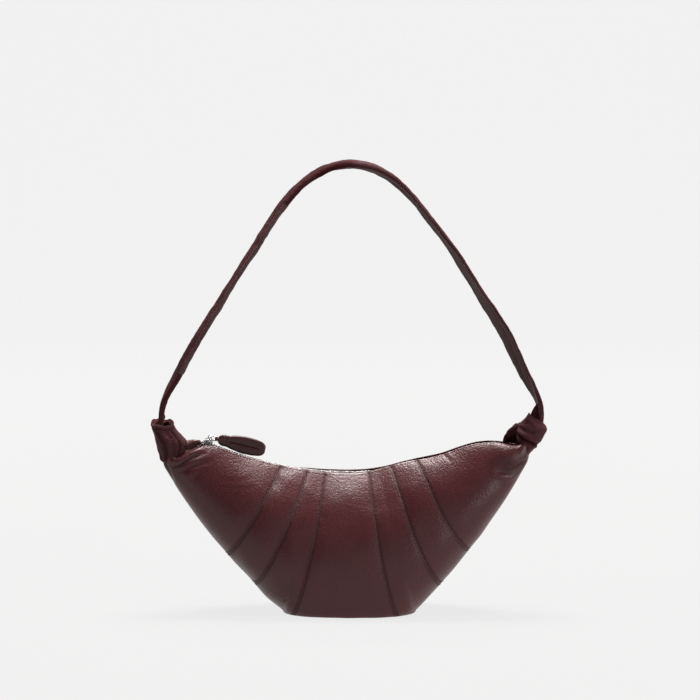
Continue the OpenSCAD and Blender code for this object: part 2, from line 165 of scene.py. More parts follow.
def unit(vectors):
    """Vectors at length 1. One without a length stays as it is."""
    size = np.linalg.norm(vectors, axis=-1, keepdims=True)
    return vectors / np.where(size < 1e-9, 1, size)


def full_turn(count):
    return np.linspace(0, 2 * math.pi, count, endpoint=False)


def squared(q, power):
    """The cosine and sine of angles, for an outline that is squarer the lower the power is."""
    return (np.sign(f) * np.abs(f) ** power for f in (np.cos(q), np.sin(q)))


def curve(x, xs, ys):
    """A smooth curve through points."""
    xs, ys = np.asarray(xs, float), np.asarray(ys, float)
    slope = np.gradient(ys, xs)
    x = np.clip(x, xs[0], xs[-1])
    k = np.clip(np.searchsorted(xs, x) - 1, 0, len(xs) - 2)
    h = xs[k + 1] - xs[k]
    t = (x - xs[k]) / h
    return (ys[k] * (2 * t ** 3 - 3 * t ** 2 + 1) + slope[k] * h * (t ** 3 - 2 * t ** 2 + t)
            + ys[k + 1] * (3 * t ** 2 - 2 * t ** 3) + slope[k + 1] * h * (t ** 3 - t ** 2))


def curve_points(at, far, points):
    """Points on a smooth curve through others, whose distances along it are given as far."""
    return np.column_stack([curve(at, far, column) for column in np.asarray(points, float).T])


def travel(points):
    """How far along its line each point is."""
    return np.concatenate([[0], np.cumsum(np.linalg.norm(np.diff(points, axis=0), axis=1))])


def noise(points, size, seed=0):
    """Smooth random values from -1 to 1 over space, the same on every run."""
    q = np.asarray(points, float) / size
    cell = np.floor(q).astype(np.int64)
    share = smooth(q - cell)
    total = 0
    for corner in product((0, 1), repeat=3):
        n = (cell + np.array(corner)) @ np.array([374761393, 668265263, 974634777]) + seed * 144665
        n = (n ^ (n >> 13)) * 1274126177
        value = ((n ^ (n >> 16)) & 0xFFFF) / 32767.5 - 1
        weight = 1
        for k, side in enumerate(corner):
            weight = weight * (share[..., k] if side else 1 - share[..., k])
        total = total + value * weight
    return total


def near_line(x, z, line):
    """Signed distance from a line of points, positive to its left, and how far along it is."""
    line = np.asarray(line, float)
    best = np.full(np.shape(x), 1e9)
    signed, share = np.zeros(np.shape(x)), np.zeros(np.shape(x))
    steps = np.hypot(*np.diff(line, axis=0).T)
    done = 0.0
    for (ax, az), (bx, bz), step in zip(line[:-1], line[1:], steps):
        dx, dz = (bx - ax) / step, (bz - az) / step
        t = np.clip((x - ax) * dx + (z - az) * dz, 0, step)
        off_x, off_z = x - ax - dx * t, z - az - dz * t
        d = np.hypot(off_x, off_z)
        closer = d < best
        best = np.where(closer, d, best)
        signed = np.where(closer, d * np.sign(dx * off_z - dz * off_x), signed)
        share = np.where(closer, (done + t) / steps.sum(), share)
        done += step
    return signed, share


# The smooth shape of the leather

def mouth_reach(a):
    """Distance from the fan point to the arc of the mouth."""
    d = MOUTH_CZ - FAN_Z
    c = d * cosd(a)
    return np.sqrt(c * c + MOUTH_R ** 2 - d * d) - c


def past(a, size, start, span):
    """What grows with the square of the angle past a start, on both halves of the fan."""
    return size * np.maximum(0, (np.abs(a) - start) / span) ** 2


def top_reach(a):
    return mouth_reach(a) + past(a, *END_SINK)


def side_reach(a):
    """Distance from the fan point to the outline beside the base, one bend set by three points."""
    b = np.abs(a)
    lean = np.where(a < 0, LEAN, -LEAN)
    off = lambda x, z: x * cosd(b) - (FAN_Z - z) * sind(b)
    ends = ((BASE[0], 0.0), (SIDE_MID[0] + lean, SIDE_MID[1]), (SIDE_END[0] + lean, SIDE_END[1]))
    g0, g1, g2 = (off(*p) for p in ends)
    k = 2 * (g1 - g0)
    t = -2 * g0 / (k + np.sqrt(np.maximum(0, k * k - 4 * (g0 - 2 * g1 + g2) * g0)))
    x, z = ((1 - t) ** 2 * ends[0][i] + 2 * t * (1 - t) * ends[1][i] + t * t * ends[2][i]
            for i in (0, 1))
    return np.hypot(x, FAN_Z - z)


def bottom_reach(a):
    """Distance from the fan point to the lower edge of the leather."""
    flat = np.abs(a) <= BASE_ANGLE
    away_from_base = np.where(flat, 20, a)
    return np.where(flat, FAN_Z / cosd(a), side_reach(away_from_base) - past(a, *END_DROP))


def bottom_y(a):
    """Half depth of the base's outline."""
    x = np.minimum(1, np.abs(FAN_Z * np.tan(np.radians(a))) / BASE[0])
    return BASE[1] * (1 - x ** BASE_ROUND) ** (1 / BASE_ROUND)


def below_above(v):
    """How far round the belly's underside v is, in radians, and its share from belly to edge."""
    return np.radians(90) * np.clip(v / BELLY_V, 0, 1), np.clip((v - BELLY_V) / (1 - BELLY_V), 0, 1)


def section(a, v):
    """Reach, half depth and distance below the mouth's edge, at share v of the way up."""
    q, u = below_above(v)
    bottom, top = bottom_reach(a), top_reach(a)
    belly = bottom - BELLY_AT * (bottom - top)
    deep = NECK_Y + (BELLY_Y - NECK_Y) * cosd(90 * a / SEAMS[-1])
    foot = bottom_y(a)
    low = v < BELLY_V
    reach = np.where(low, belly + (bottom - belly) * np.cos(q), belly - (belly - top) * u)
    size, start, span = END_CLOSE
    edge = EDGE_Y - size * smooth((np.abs(a) - start) / span)
    half = np.where(low, foot + (deep - foot) * np.sin(q), edge + (deep - edge) * (1 - u ** LEAN_IN))
    slope = LEAN_IN * (deep - edge) / (belly - top)
    return reach, half, (reach - top) * np.sqrt(1 + slope * slope)


def bowed(a, v):
    """The fan angle of a point whose seams bow in towards the middle and lean a little."""
    share = np.interp(np.abs(a), *SEAM_BOW_SHARE)
    v = np.clip(v, 0, 1)
    lean = np.interp(a, SEAMS, SEAM_SHIFT_TOP) * v + np.interp(a, SEAMS, SEAM_SHIFT_BASE) * (1 - v)
    return a - np.sign(a) * SEAM_BOW * share * np.sin(math.pi * v) + lean * smooth(np.abs(a) / 8)


def smooth_point(a, v, side):
    """A point of the smooth shape, on the front for side -1 and on the back for 1."""
    a = bowed(a, v)
    reach, half, _ = section(a, v)
    up = curve(a, EDGE_AT, FRONT_UP if side < 0 else BACK_UP)
    up = up * smooth((v - BELLY_V) / (1 - BELLY_V))
    return np.stack([reach * sind(a), side * half, FAN_Z - reach * cosd(a) + up], -1)


def smooth_normal(a, v, side):
    """The way out from the smooth shape at a point."""
    da, dv = 0.05, 0.004
    along = smooth_point(a + da, v, side) - smooth_point(a - da, v, side)
    v0, v1 = np.clip(v - dv, 0, 1), np.clip(v + dv, 0, 1)
    rise = smooth_point(a, v1, side) - smooth_point(a, v0, side)
    return unit(np.cross(along, rise) * -side)


# Folds of the front, seen from the front: points, depth, width, height of the lip beside it, where the
# lip is, and how wide it is. A fold is also painted darker the deeper it is, as painted shade.
FOLDS = (
    (((-180, 146), (-169, 149.5), (-157, 156.5), (-141, 162.5)), 2.3, 1.9, 1.6, 4.4, 2.8),
    (((-175, 140), (-158, 147.5), (-132, 155)), 1.1, 2.8, 0.9, 5.0, 3.4),
    (((-166, 128), (-150, 141), (-132, 149)), 0.5, 3.0, 0.4, 5.0, 4.0),
    (((-134, 136), (-112, 134), (-92, 138)), 0.14, 2.6, 0.1, 4.0, 3.0),
    (((-130, 128), (-108, 127), (-86, 130)), 0.14, 2.4, 0.1, 4.0, 3.0),
    (((176, 154), (170, 147), (163, 141), (153, 136)), 1.1, 2.6, -0.5, 5.0, 4.0),
    (((172, 158), (163, 166), (150, 170)), 0.4, 2.4, -0.3, 4.0, 3.0),
    (((175, 157), (169, 149.5), (159, 144), (148, 145), (142, 151)), 2.3, 3.2, 1.2, 6.0, 3.0),
    (((-186, 155), (-181.5, 144), (-174.0, 128)), 2.8, 1.9, 0.0, 4.0, 3.0),
    (((93, 160), (98, 156), (104, 151)), 0.35, 1.4, 0.2, 3.5, 2.5),
)


# The swell and the hollow beside the right knot: how far out, then the middle and width in x and z
SWELLS = ((2.6, 158, 13, 160, 12), (-1.5, 176, 7, 146, 7))


def front_folds(out, painted_shade_and_tone, a, v, x, z):
    """Adds the folds of the front, its left end, which is tucked in, and what is by the right knot,
    with painted shade in the folds, on the tucked end and in a patch beside the right knot.
    """
    for line, deep, wide, lip, lip_at, lip_wide in FOLDS:
        d, share = near_line(x, z, line)
        fade = smooth(share * 5) * smooth((1 - share) * 2.2)
        out = out + fade * (lip * bell(d - lip_at, lip_wide) - deep * bell(d, wide))
        # Painted shade in the fold
        painted_shade_and_tone = painted_shade_and_tone + fade * min(1, 0.26 * deep) * bell(d, wide * 0.8)
    tucked = smooth((-a - 59.0) / 2.6) * smooth((v - 0.3) / 0.25)
    out = out - 6.0 * tucked
    # Painted shade on the tucked end
    painted_shade_and_tone = painted_shade_and_tone + 0.5 * tucked
    for high, x_at, x_wide, z_at, z_wide in SWELLS:
        out = out + high * bell(x - x_at, x_wide) * bell(z - z_at, z_wide)
    # A patch of painted shade beside the right knot
    return out, painted_shade_and_tone + 0.8 * bell(x - 157, 11) * bell(z - 151, 6)


def relief(a, v, side, points):
    """How far the leather stands out from its smooth shape, and how much shade is painted on it."""
    reach, _, below = section(a, v)
    x, z = points[..., 0], points[..., 2]
    look = bpy.context.scene.bag_leather
    from_seams = np.abs(np.stack([a - seam for seam in INNER_SEAMS]))
    seam, index = from_seams.min(axis=0), from_seams.argmin(axis=0)
    s = np.radians(seam) * reach
    turn, up = below_above(v)
    rise = np.where(v < BELLY_V, np.sin(turn), 1 - up ** 2)
    # Each gore's crown, with wide and narrow wrinkles over it
    out = look.crown * 1000 * sind(90 * np.minimum(1, seam / 5)) * rise
    out = out + look.wrinkles * 1000 * noise(points, 42, 3) * (0.35 + 0.65 * rise)
    out = out + 0.35 * look.wrinkles * 1000 * noise(points * np.array([1, 1, 0.8]), 15, 5)
    # Puckers, which differ on the two sides of a seam and are stronger on the left of the front
    lane = index * 9 + 4 * (a > np.asarray(INNER_SEAMS)[index])
    pucker = noise(np.stack([reach, lane * 31.0, s * 0.35], -1), 5.2, 11 if side < 0 else 12)
    pull = look.puckers * 1000 * np.exp(-s / 7) * (1 - bell(s, 1.4))
    if side < 0:
        pull = pull * (1 + 1.4 * bell(x + 92, 34) * bell(z - 132, 16))
    out = out + pull * pucker
    # The grooves of a seam and of its two rows of stitches, the sag beside the left end of the base,
    # and the groove of the stitches along the mouth's edge
    groove = look.seam_depth * 1000 * bell(s, 0.9) + 0.14 * bell(s - STITCH_AT, 0.6)
    groove = groove * smooth((v - 0.02) / 0.13)
    out = out - groove * smooth((below - 0.2) / 2)
    out = out + 2.0 * bell(z - 17, 11) * smooth((-x - 48) / 24)
    out = out - 0.12 * bell(below - EDGE_STITCH_AT, 0.5)
    # Painted shade along each seam's groove
    painted_shade_and_tone = bell(s, 2.6) * 0.68
    if side < 0:
        out, painted_shade_and_tone = front_folds(out, painted_shade_and_tone, a, v, x, z)
    return out * smooth(v / 0.04), np.clip(painted_shade_and_tone, 0, 1)


def leather_face(a, v, side):
    """The leather's outer surface, its normals and the shade painted on it."""
    points, normals = smooth_point(a, v, side), smooth_normal(a, v, side)
    out, painted_shade_and_tone = relief(a, v, side, points)
    return points + normals * out[..., None], normals, painted_shade_and_tone


def leather_grid(a, v, side):
    """The leather's outer surface over a grid of angles and shares."""
    return leather_face(*np.meshgrid(a, v, indexing="ij"), side)


def seam_columns(first, last, dense_first, dense_last):
    """Angles between two seams, closer together beside a seam."""
    mm = math.degrees(1 / MID_REACH)
    left = [first + d * mm for d in (BESIDE_SEAM if dense_first else [0])]
    right = [last - d * mm for d in (BESIDE_SEAM[::-1] if dense_last else [0])]
    gap = right[0] - left[-1]
    count = max(1, round(gap / (COLUMN_STEP * mm)))
    return np.array(left + [left[-1] + gap * k / count for k in range(1, count)] + right)


# Meshes

def paint_shade_and_tone(mesh, values):
    """Stores the share of painted shade at each point, which on the strap also holds darker tone."""
    layer = mesh.attributes.new("painted_shade_and_tone", "FLOAT", "POINT")
    layer.data.foreach_set("value", np.asarray(values, np.float32).ravel())


def make_mesh(name, points, faces, material, painted_shade_and_tone=None):
    """A new object from points in millimetres."""
    mesh = bpy.data.meshes.new(name)
    points = np.asarray(points, float).reshape(-1, 3) * 0.001
    mesh.from_pydata(points.tolist(), [], [list(map(int, f)) for f in faces])
    mesh.update()
    if painted_shade_and_tone is not None:
        paint_shade_and_tone(mesh, painted_shade_and_tone)
    mesh.polygons.foreach_set("use_smooth", [True] * len(mesh.polygons))
    mesh.materials.append(material)
    obj = bpy.data.objects.new(name, mesh)
    bpy.context.scene.collection.objects.link(obj)
    return obj


def loop_faces(count, ring, closed=False, caps=True):
    """Faces of a tube of rings, each a closed ring of points, whose outside faces out when each
    ring runs clockwise as seen from the tube's start."""
    faces = []
    for c in range(count if closed else count - 1):
        a, b = c * ring, (c + 1) % count * ring
        for k in range(ring):
            j = (k + 1) % ring
            faces.append((a + k, a + j, b + j, b + k))
    if caps and not closed:
        faces.append(tuple(range(ring))[::-1])
        faces.append(tuple(range((count - 1) * ring, count * ring)))
    return faces


def outward(obj):
    """Turns the faces of a closed mesh outwards."""
    mesh = obj.data
    mesh.calc_loop_triangles()
    co = np.array([v.co for v in mesh.vertices])
    tri = np.array([t.vertices for t in mesh.loop_triangles])
    p = co[tri]
    volume = np.einsum("ij,ij->i", p[:, 0], np.cross(p[:, 1], p[:, 2])).sum()
    if volume < 0:
        mesh.flip_normals()
    return obj


def ring_mesh(name, rings, material, painted_shade_and_tone=None):
    """A mesh through rings of points, closed at both ends."""
    return outward(make_mesh(name, rings, loop_faces(len(rings), len(rings[0])), material, painted_shade_and_tone))


def shell_mesh(name, outer, normals, thickness, material, painted_shade_and_tone, border=()):
    """A sheet of some thickness with a rounded top edge. Columns run from bottom to top."""
    cols, rows = outer.shape[:2]
    inner = outer - normals * thickness
    up = unit(outer[:, -1] - outer[:, -2])
    mid, arm = (outer[:, -1] + inner[:, -1]) / 2, (outer[:, -1] - inner[:, -1]) / 2
    rim = np.stack([mid + arm * math.cos(q) + up * thickness / 2 * math.sin(q)
                    for q in (math.pi / 4, math.pi / 2, 3 * math.pi / 4)], 1)
    loop = np.concatenate([outer, rim, inner[:, ::-1]], 1)
    shade = np.concatenate([painted_shade_and_tone, np.zeros((cols, 3)), painted_shade_and_tone[:, ::-1]], 1)
    ring = loop.shape[1]
    faces = loop_faces(cols, ring, caps=False)
    for first, turn in ((0, 1), ((cols - 1) * ring, -1)):
        last = first + ring - 1
        for r in range(rows - 1):
            faces.append((first + r, first + r + 1, last - r - 1, last - r)[::turn])
        faces.append(tuple(range(first + rows - 1, first + rows + 4))[::turn])
    obj = outward(make_mesh(name, loop, faces, material, shade))
    if border:
        given = np.zeros((len(obj.data.vertices), 3))
        for c, n in border:
            index = c * ring + np.arange(rows)
            given[index] = n
            given[c * ring + ring - 1 - np.arange(rows)] = -n
        obj.data.normals_split_custom_set_from_vertices(given.tolist())
    return obj


def tube(name, path, wide, high, material, sides=16, closed=False, hint=(0, -1, 0),
         power=1.0, bumps=None):
    """A tube along a path, with a half width across hint's side and a half height along hint."""
    path = np.asarray(path, float)
    n = len(path)
    wide, high = np.broadcast_to(wide, n), np.broadcast_to(high, n)
    ahead = unit(np.roll(path, -1, 0) - np.roll(path, 1, 0) if closed else np.gradient(path, axis=0))
    side = unit(np.cross(ahead, np.broadcast_to(np.asarray(hint, float), (n, 3))))
    face = np.cross(side, ahead)
    c, s = squared(full_turn(sides), power)
    rings = (path[:, None] + side[:, None] * (wide[:, None] * c)[..., None]
             + face[:, None] * (high[:, None] * s)[..., None])
    if bumps is not None:
        rings = rings + unit(rings - path[:, None]) * bumps(rings)[..., None]
    if closed:
        return outward(make_mesh(name, rings, loop_faces(n, sides, True), material))
    cap = lambda k, way: path[k] + ahead[k] * way * min(wide[k], high[k]) * 0.35
    points = np.concatenate([rings.reshape(-1, 3), [cap(0, -1)], [cap(-1, 1)]])
    faces = loop_faces(n, sides, caps=False)
    last = (n - 1) * sides
    for k in range(sides):
        j = (k + 1) % sides
        faces.append((n * sides, k, j)[::-1])
        faces.append((n * sides + 1, last + k, last + j))
    return outward(make_mesh(name, points, faces, material))


def join(name, objects):
    """One object from several, with the first one's material slots."""
    first = objects[0]
    with bpy.context.temp_override(active_object=first, object=first, selected_objects=objects,
                                   selected_editable_objects=objects):
        bpy.ops.object.join()
    first.name = first.data.name = name
    return first


# Materials

class Signal:
    """A socket of a material's nodes that can be used in sums."""

    def __init__(self, graph, socket):
        self.graph, self.socket = graph, socket

    def _sum(self, kind, a, b):
        return self.graph.node("ShaderNodeMath", {"operation": kind}, {0: a, 1: b})

    def __add__(self, other):
        return self._sum("ADD", self, other)

    def __mul__(self, other):
        return self._sum("MULTIPLY", self, other)

    __radd__, __rmul__ = __add__, __mul__


class Graph:
    """The nodes of one material."""

    def __init__(self, name):
        self.material = bpy.data.materials.new(name)
        self.material.use_nodes = True
        self.tree = self.material.node_tree
        self.tree.nodes.clear()

    def node(self, kind, settings=None, values=None, out=0):
        """Adds a node, with its settings first and then its sockets, and returns one output."""
        made = self.tree.nodes.new(kind)
        for key, value in (settings or {}).items():
            setattr(made, key, value)
        for key, value in (values or {}).items():
            if isinstance(value, Signal):
                self.tree.links.new(value.socket, made.inputs[key])
            else:
                made.inputs[key].default_value = value
        return Signal(self, made.outputs[out])

    def place(self):
        return self.node("ShaderNodeTexCoord", out="Object")

    def noise(self, scale, detail=2.0, rough=0.5):
        return self.node("ShaderNodeTexNoise", {},
                         {"Vector": self.place(), "Scale": scale, "Detail": detail, "Roughness": rough},
                         "Fac")

    def wave(self, direction, scale, distortion):
        return self.node("ShaderNodeTexWave", {"bands_direction": direction},
                         {"Vector": self.place(), "Scale": scale, "Distortion": distortion}, "Fac")

    def mix(self, share, a, b):
        return self.node("ShaderNodeMix", {"data_type": "RGBA"}, {0: share, 6: a, 7: b}, 2)

    def vary(self, share, colour, low, high):
        """A colour that gets darker and lighter with a share."""
        return self.mix(share, rgb(colour, low), rgb(colour, high))

    def bump(self, height, distance, strength=1.0, over=None):
        values = {"Height": height, "Distance": distance, "Strength": strength}
        if over:
            values["Normal"] = over
        return self.node("ShaderNodeBump", {}, values, "Normal")

    def finish(self, surface):
        output = self.tree.nodes.new("ShaderNodeOutputMaterial")
        self.tree.links.new(surface.socket, output.inputs["Surface"])
        return self.material

    def shade(self, **values):
        values = {key.replace("_", " "): value for key, value in values.items()}
        return self.finish(self.node("ShaderNodeBsdfPrincipled", {}, values, "BSDF"))


def rgb(colour, factor=1.0):
    return tuple(c * factor for c in colour[:3]) + (1,)


def leather_material(name, colour, rough=0.32, pebble=0.0017, grain=0.00024, gloss=0.28):
    """Pebbled satin leather with darker valleys between the pebbles, and painted shade, darker, redder
    and rougher, where the mesh stores it: along seams and in folds and creases. On the strap the stored
    share also holds darker tone.
    """
    g = Graph(name)
    tone = g.noise(22, 3.0, 0.55)
    pebbles = g.node("ShaderNodeTexVoronoi", {"feature": "SMOOTH_F1"},
                     {"Vector": g.place(), "Scale": 1 / pebble}, "Distance")
    # The stored share of painted shade, and on the strap also of darker tone
    painted_shade_and_tone = g.node("ShaderNodeAttribute", {"attribute_name": "painted_shade_and_tone"}, out="Fac")
    base = g.vary(tone, colour, 0.8, 1.2)
    base = g.mix(pebbles * 0.4, base, rgb(colour, 0.5))
    base = g.mix(painted_shade_and_tone * 0.8, base, (colour[0] * 0.42, colour[1] * 0.14, colour[2] * 0.14, 1.0))
    height = pebbles * -1.0 + g.noise(1800, 2.0, 0.6) * 0.4 + g.noise(800, 2.0, 0.6) * 0.3
    normal = g.bump(g.noise(120, 3.0, 0.6), 0.0004, 0.1, g.bump(height, grain))
    return g.shade(Base_Color=base, Roughness=tone * 0.12 + (rough - 0.06) + painted_shade_and_tone * 0.4,
                   Normal=normal, Specular_IOR_Level=gloss)


def thread_material(name, colour):
    """Thread twisted from strands."""
    g = Graph(name)
    twist = g.wave("DIAGONAL", 900, 1.0)
    return g.shade(Base_Color=g.vary(twist, colour, 0.7, 1.25), Roughness=0.8,
                   Normal=g.bump(twist, 0.0001, 0.6), Specular_IOR_Level=0.1)


def cloth_material(name, colour, scale=1500, rough=0.8):
    """A plain weave."""
    g = Graph(name)
    weave = g.wave("X", scale / 6.28, 0.4) * g.wave("Z", scale / 6.28, 0.4)
    cloud = g.noise(60, 3.0, 0.6)
    base = g.mix(weave * 0.5, rgb(colour, 0.55), g.vary(cloud, colour, 0.75, 1.25))
    return g.shade(Base_Color=base, Roughness=cloud * 0.1 + rough, Normal=g.bump(weave, 0.0002, 0.6),
                   Sheen_Weight=0.15)


def metal_material(name, colour, rough=0.2):
    """Bright nickel with fine scratches and cloudy wear."""
    g = Graph(name)
    cloud = g.noise(420, 3.0, 0.6)
    drawn = g.node("ShaderNodeMapping", {}, {"Vector": g.place(), "Scale": (1, 8, 8)})
    lines = g.node("ShaderNodeTexNoise", {}, {"Vector": drawn, "Scale": 1600.0, "Detail": 2.0}, "Fac")
    return g.shade(Base_Color=g.vary(cloud, colour, 0.8, 1.15), Metallic=1.0,
                   Roughness=lines * 0.16 + cloud * 0.1 + (rough - 0.1),
                   Normal=g.bump(lines, 0.00003, 0.4))


def board_material(name, colour):
    """Grey board with a cloudy face."""
    g = Graph(name)
    cloud = g.noise(200, 4.0, 0.7)
    return g.shade(Base_Color=g.vary(cloud, colour, 0.8, 1.2), Roughness=0.85,
                   Normal=g.bump(cloud, 0.0002, 0.4))


MATERIALS = {}


def material(name):
    """The finished materials, made the first time that one is asked for."""
    if not MATERIALS:
        look = bpy.context.scene.bag_leather
        body, strap = tuple(look.colour), tuple(look.strap_colour)
        MATERIALS.update({
            "body": leather_material("body leather", body),
            "strap": leather_material("strap leather", strap, 0.58, 0.0018, 0.0002, 0.1),
            # Lighter leather of the strap's underside, also laid on parts of its edges as a painted
            # highlight
            "strap_inner_and_highlight": leather_material("strap leather inside and painted highlight", (0.072, 0.036, 0.037), 0.5, 0.0018,
                                            0.0002, 0.3),
            "puller": leather_material("puller leather", tuple(look.puller_colour), 0.36, 0.0014,
                                       0.0001, 0.3),
            "thread": thread_material("thread", rgb(body, 0.5)),
            "lining": cloth_material("lining", (0.035, 0.020, 0.020)),
            "tape": cloth_material("zip tape", (0.045, 0.026, 0.026), 2400, 0.75),
            "metal": metal_material("bright nickel", (0.50, 0.49, 0.48)),
            "board": board_material("base board", (0.05, 0.045, 0.04)),
        })
    return MATERIALS[name]


# For each half of the mouth, two points of the frame, in metres, this far in front of or behind its
# middle.
BENDS = {"left": (0.01766, 0.11538), "right": (-0.01929, 0.11128)}
BEND_Y = 0.0424


def bend(obj, side, half, *nodes):
    """Bakes a piece's place into its mesh and hides the frame's nodes that it stands for."""
    x, z = BENDS[half]
    y = side * BEND_Y
    "front_flap" if side < 0 else "back_flap"
    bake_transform(obj)
    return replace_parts(obj, *nodes) if nodes else obj


def side_name(side):
    return "front" if side < 0 else "back"


def zip_point(x, y, up):
    """A point over the zip's arc, up from it towards its centre. Its ends sink into the bag."""
    x = np.asarray(x, float)
    q = np.arcsin(x / MOUTH_R)
    r = MOUTH_R - up
    sink = 6 * smooth((x - 116) / 24) + 7 * smooth((-145.5 - x) / 5)
    return np.stack([r * np.sin(q), np.broadcast_to(y, x.shape), MOUTH_CZ - r * np.cos(q) - sink], -1)


# Geometry Nodes: one small shape repeated on points that carry their own axes

# The sizes that a tree takes as inputs
SIZES = ("Length", "Width", "Height")


def repeat_tree(name, build):
    """A node tree that puts a shape on each point. Build makes the shape and its inputs."""
    tree = bpy.data.node_groups.new(name, "GeometryNodeTree")
    face = tree.interface
    face.new_socket("Geometry", in_out="INPUT", socket_type="NodeSocketGeometry")
    face.new_socket("Geometry", in_out="OUTPUT", socket_type="NodeSocketGeometry")
    for label in SIZES:
        face.new_socket(label, in_out="INPUT", socket_type="NodeSocketFloat")
    face.new_socket("Material", in_out="INPUT", socket_type="NodeSocketMaterial")
    add, link = tree.nodes.new, tree.links.new
    given = add("NodeGroupInput")
    axis = {}
    for label in ("aim", "up"):
        axis[label] = add("GeometryNodeInputNamedAttribute")
        axis[label].data_type = "FLOAT_VECTOR"
        axis[label].inputs["Name"].default_value = label
    turn = add("FunctionNodeAxesToRotation")
    turn.primary_axis, turn.secondary_axis = "Z", "X"
    link(axis["up"].outputs["Attribute"], turn.inputs[0])
    link(axis["aim"].outputs["Attribute"], turn.inputs[1])
    shape = build(tree, given)
    points = add("GeometryNodeInstanceOnPoints")
    link(given.outputs["Geometry"], points.inputs["Points"])
    link(shape, points.inputs["Instance"])
    link(turn.outputs[0], points.inputs["Rotation"])
    real, paint = add("GeometryNodeRealizeInstances"), add("GeometryNodeSetMaterial")
    shade = add("GeometryNodeSetShadeSmooth")
    link(points.outputs[0], real.inputs[0])
    link(real.outputs[0], shade.inputs[0])
    link(shade.outputs[0], paint.inputs["Geometry"])
    link(given.outputs["Material"], paint.inputs["Material"])
    link(paint.outputs[0], add("NodeGroupOutput").inputs[0])
    return tree


def scaled(tree, mesh, sizes):
    """A shape scaled by three sockets or numbers, out of a primitive of size 1."""
    vector = tree.nodes.new("ShaderNodeCombineXYZ")
    for key, size in zip("XYZ", sizes):
        if isinstance(size, bpy.types.NodeSocket):
            tree.links.new(size, vector.inputs[key])
        else:
            vector.inputs[key].default_value = size
    move = tree.nodes.new("GeometryNodeTransform")
    tree.links.new(mesh, move.inputs["Geometry"])
    tree.links.new(vector.outputs[0], move.inputs["Scale"])
    return move


def ball(tree, segments, sizes):
    """A coarse ball scaled by three sockets or numbers."""
    made = tree.nodes.new("GeometryNodeMeshUVSphere")
    for key, value in (("Segments", segments), ("Rings", 5), ("Radius", 0.5)):
        made.inputs[key].default_value = value
    return scaled(tree, made.outputs["Mesh"], sizes)


def stitch_shape(tree, given):
    """One stitch, a long ball."""
    return ball(tree, 6, [given.outputs[k] for k in SIZES]).outputs[0]


def tooth_shape(tree, given):
    """A block with a rounded head at its far end."""
    block = tree.nodes.new("GeometryNodeMeshCube")
    body = scaled(tree, block.outputs["Mesh"], [given.outputs[k] for k in SIZES])
    head = ball(tree, 8, TOOTH_HEAD)
    head.inputs["Translation"].default_value = (0, TOOTH_HEAD_IN, 0)
    both = tree.nodes.new("GeometryNodeJoinGeometry")
    tree.links.new(body.outputs[0], both.inputs[0])
    tree.links.new(head.outputs[0], both.inputs[0])
    return both.outputs[0]


def repeat(name, tree, points, aims, ups, sizes, paint, slot):
    """A plain mesh of the tree's shape on each point, in millimetres."""
    seed = make_mesh(name + "_points", points, [], paint)
    for label, vectors in (("aim", aims), ("up", ups)):
        layer = seed.data.attributes.new(label, "FLOAT_VECTOR", "POINT")
        layer.data.foreach_set("vector", np.asarray(vectors, np.float32).ravel())
    change = seed.modifiers.new("repeat", "NODES")
    change.node_group = tree
    keys = {i.name: i.identifier for i in tree.interface.items_tree if i.in_out == "INPUT"}
    for label, size in zip(SIZES, sizes):
        change[keys[label]] = size
    change[keys["Material"]] = paint
    ready = seed.evaluated_get(bpy.context.evaluated_depsgraph_get())
    mesh = bpy.data.meshes.new_from_object(ready)
    seed.modifiers.clear()
    bpy.data.objects.remove(seed)
    mesh.name = name
    obj = bpy.data.objects.new(name, mesh)
    bpy.context.scene.collection.objects.link(obj)
    return obj


def spaced(points, pitch):
    """Places along a line of points at an even pitch: points and directions."""
    far = travel(points)
    at = np.arange(pitch / 2, far[-1], pitch)
    on_line = lambda where: np.stack([np.interp(where, far, points[:, k]) for k in range(3)], 1)
    place = on_line(at)
    return place, on_line(at + 0.5) - place


# Properties

class BagLeather(bpy.types.PropertyGroup):
    """The leather of the body and the strap."""
    colour: FloatVectorProperty(name="Body colour", description="Colour of the body's leather",
                                subtype="COLOR", size=3, min=0, max=1, default=(0.060, 0.0146, 0.0160))
    strap_colour: FloatVectorProperty(name="Strap colour",
                                      description="Colour of the strap and the knots",
                                      subtype="COLOR", size=3, min=0, max=1,
                                      default=(0.050, 0.0140, 0.0160))
    puller_colour: FloatVectorProperty(name="Puller colour",
                                       description="Colour of the puller's leather",
                                       subtype="COLOR", size=3, min=0, max=1,
                                       default=(0.040, 0.0115, 0.0125))
    crown: FloatProperty(name="Crown", description="How far each gore swells over its seams",
                         default=0.0016, min=0, max=0.003, unit="LENGTH")
    seam_depth: FloatProperty(name="Seam depth", description="Depth of the groove along a seam",
                              default=0.0005, min=0, max=0.0015, unit="LENGTH")
    wrinkles: FloatProperty(name="Wrinkles", description="Height of the soft wrinkles",
                            default=0.0012, min=0, max=0.003, unit="LENGTH")
    puckers: FloatProperty(name="Puckers", description="Height of the puckers beside a seam",
                           default=0.0003, min=0, max=0.002, unit="LENGTH")


class BagThread(bpy.types.PropertyGroup):
    """The stitching."""
    pitch: FloatProperty(name="Pitch", description="Distance from one stitch to the next",
                         default=0.0034, min=0.002, max=0.006, unit="LENGTH")
    length: FloatProperty(name="Length", description="Length of one stitch",
                          default=0.0025, min=0.001, max=0.005, unit="LENGTH")
    width: FloatProperty(name="Width", description="Thickness of the thread",
                         default=0.0006, min=0.0003, max=0.001, unit="LENGTH")


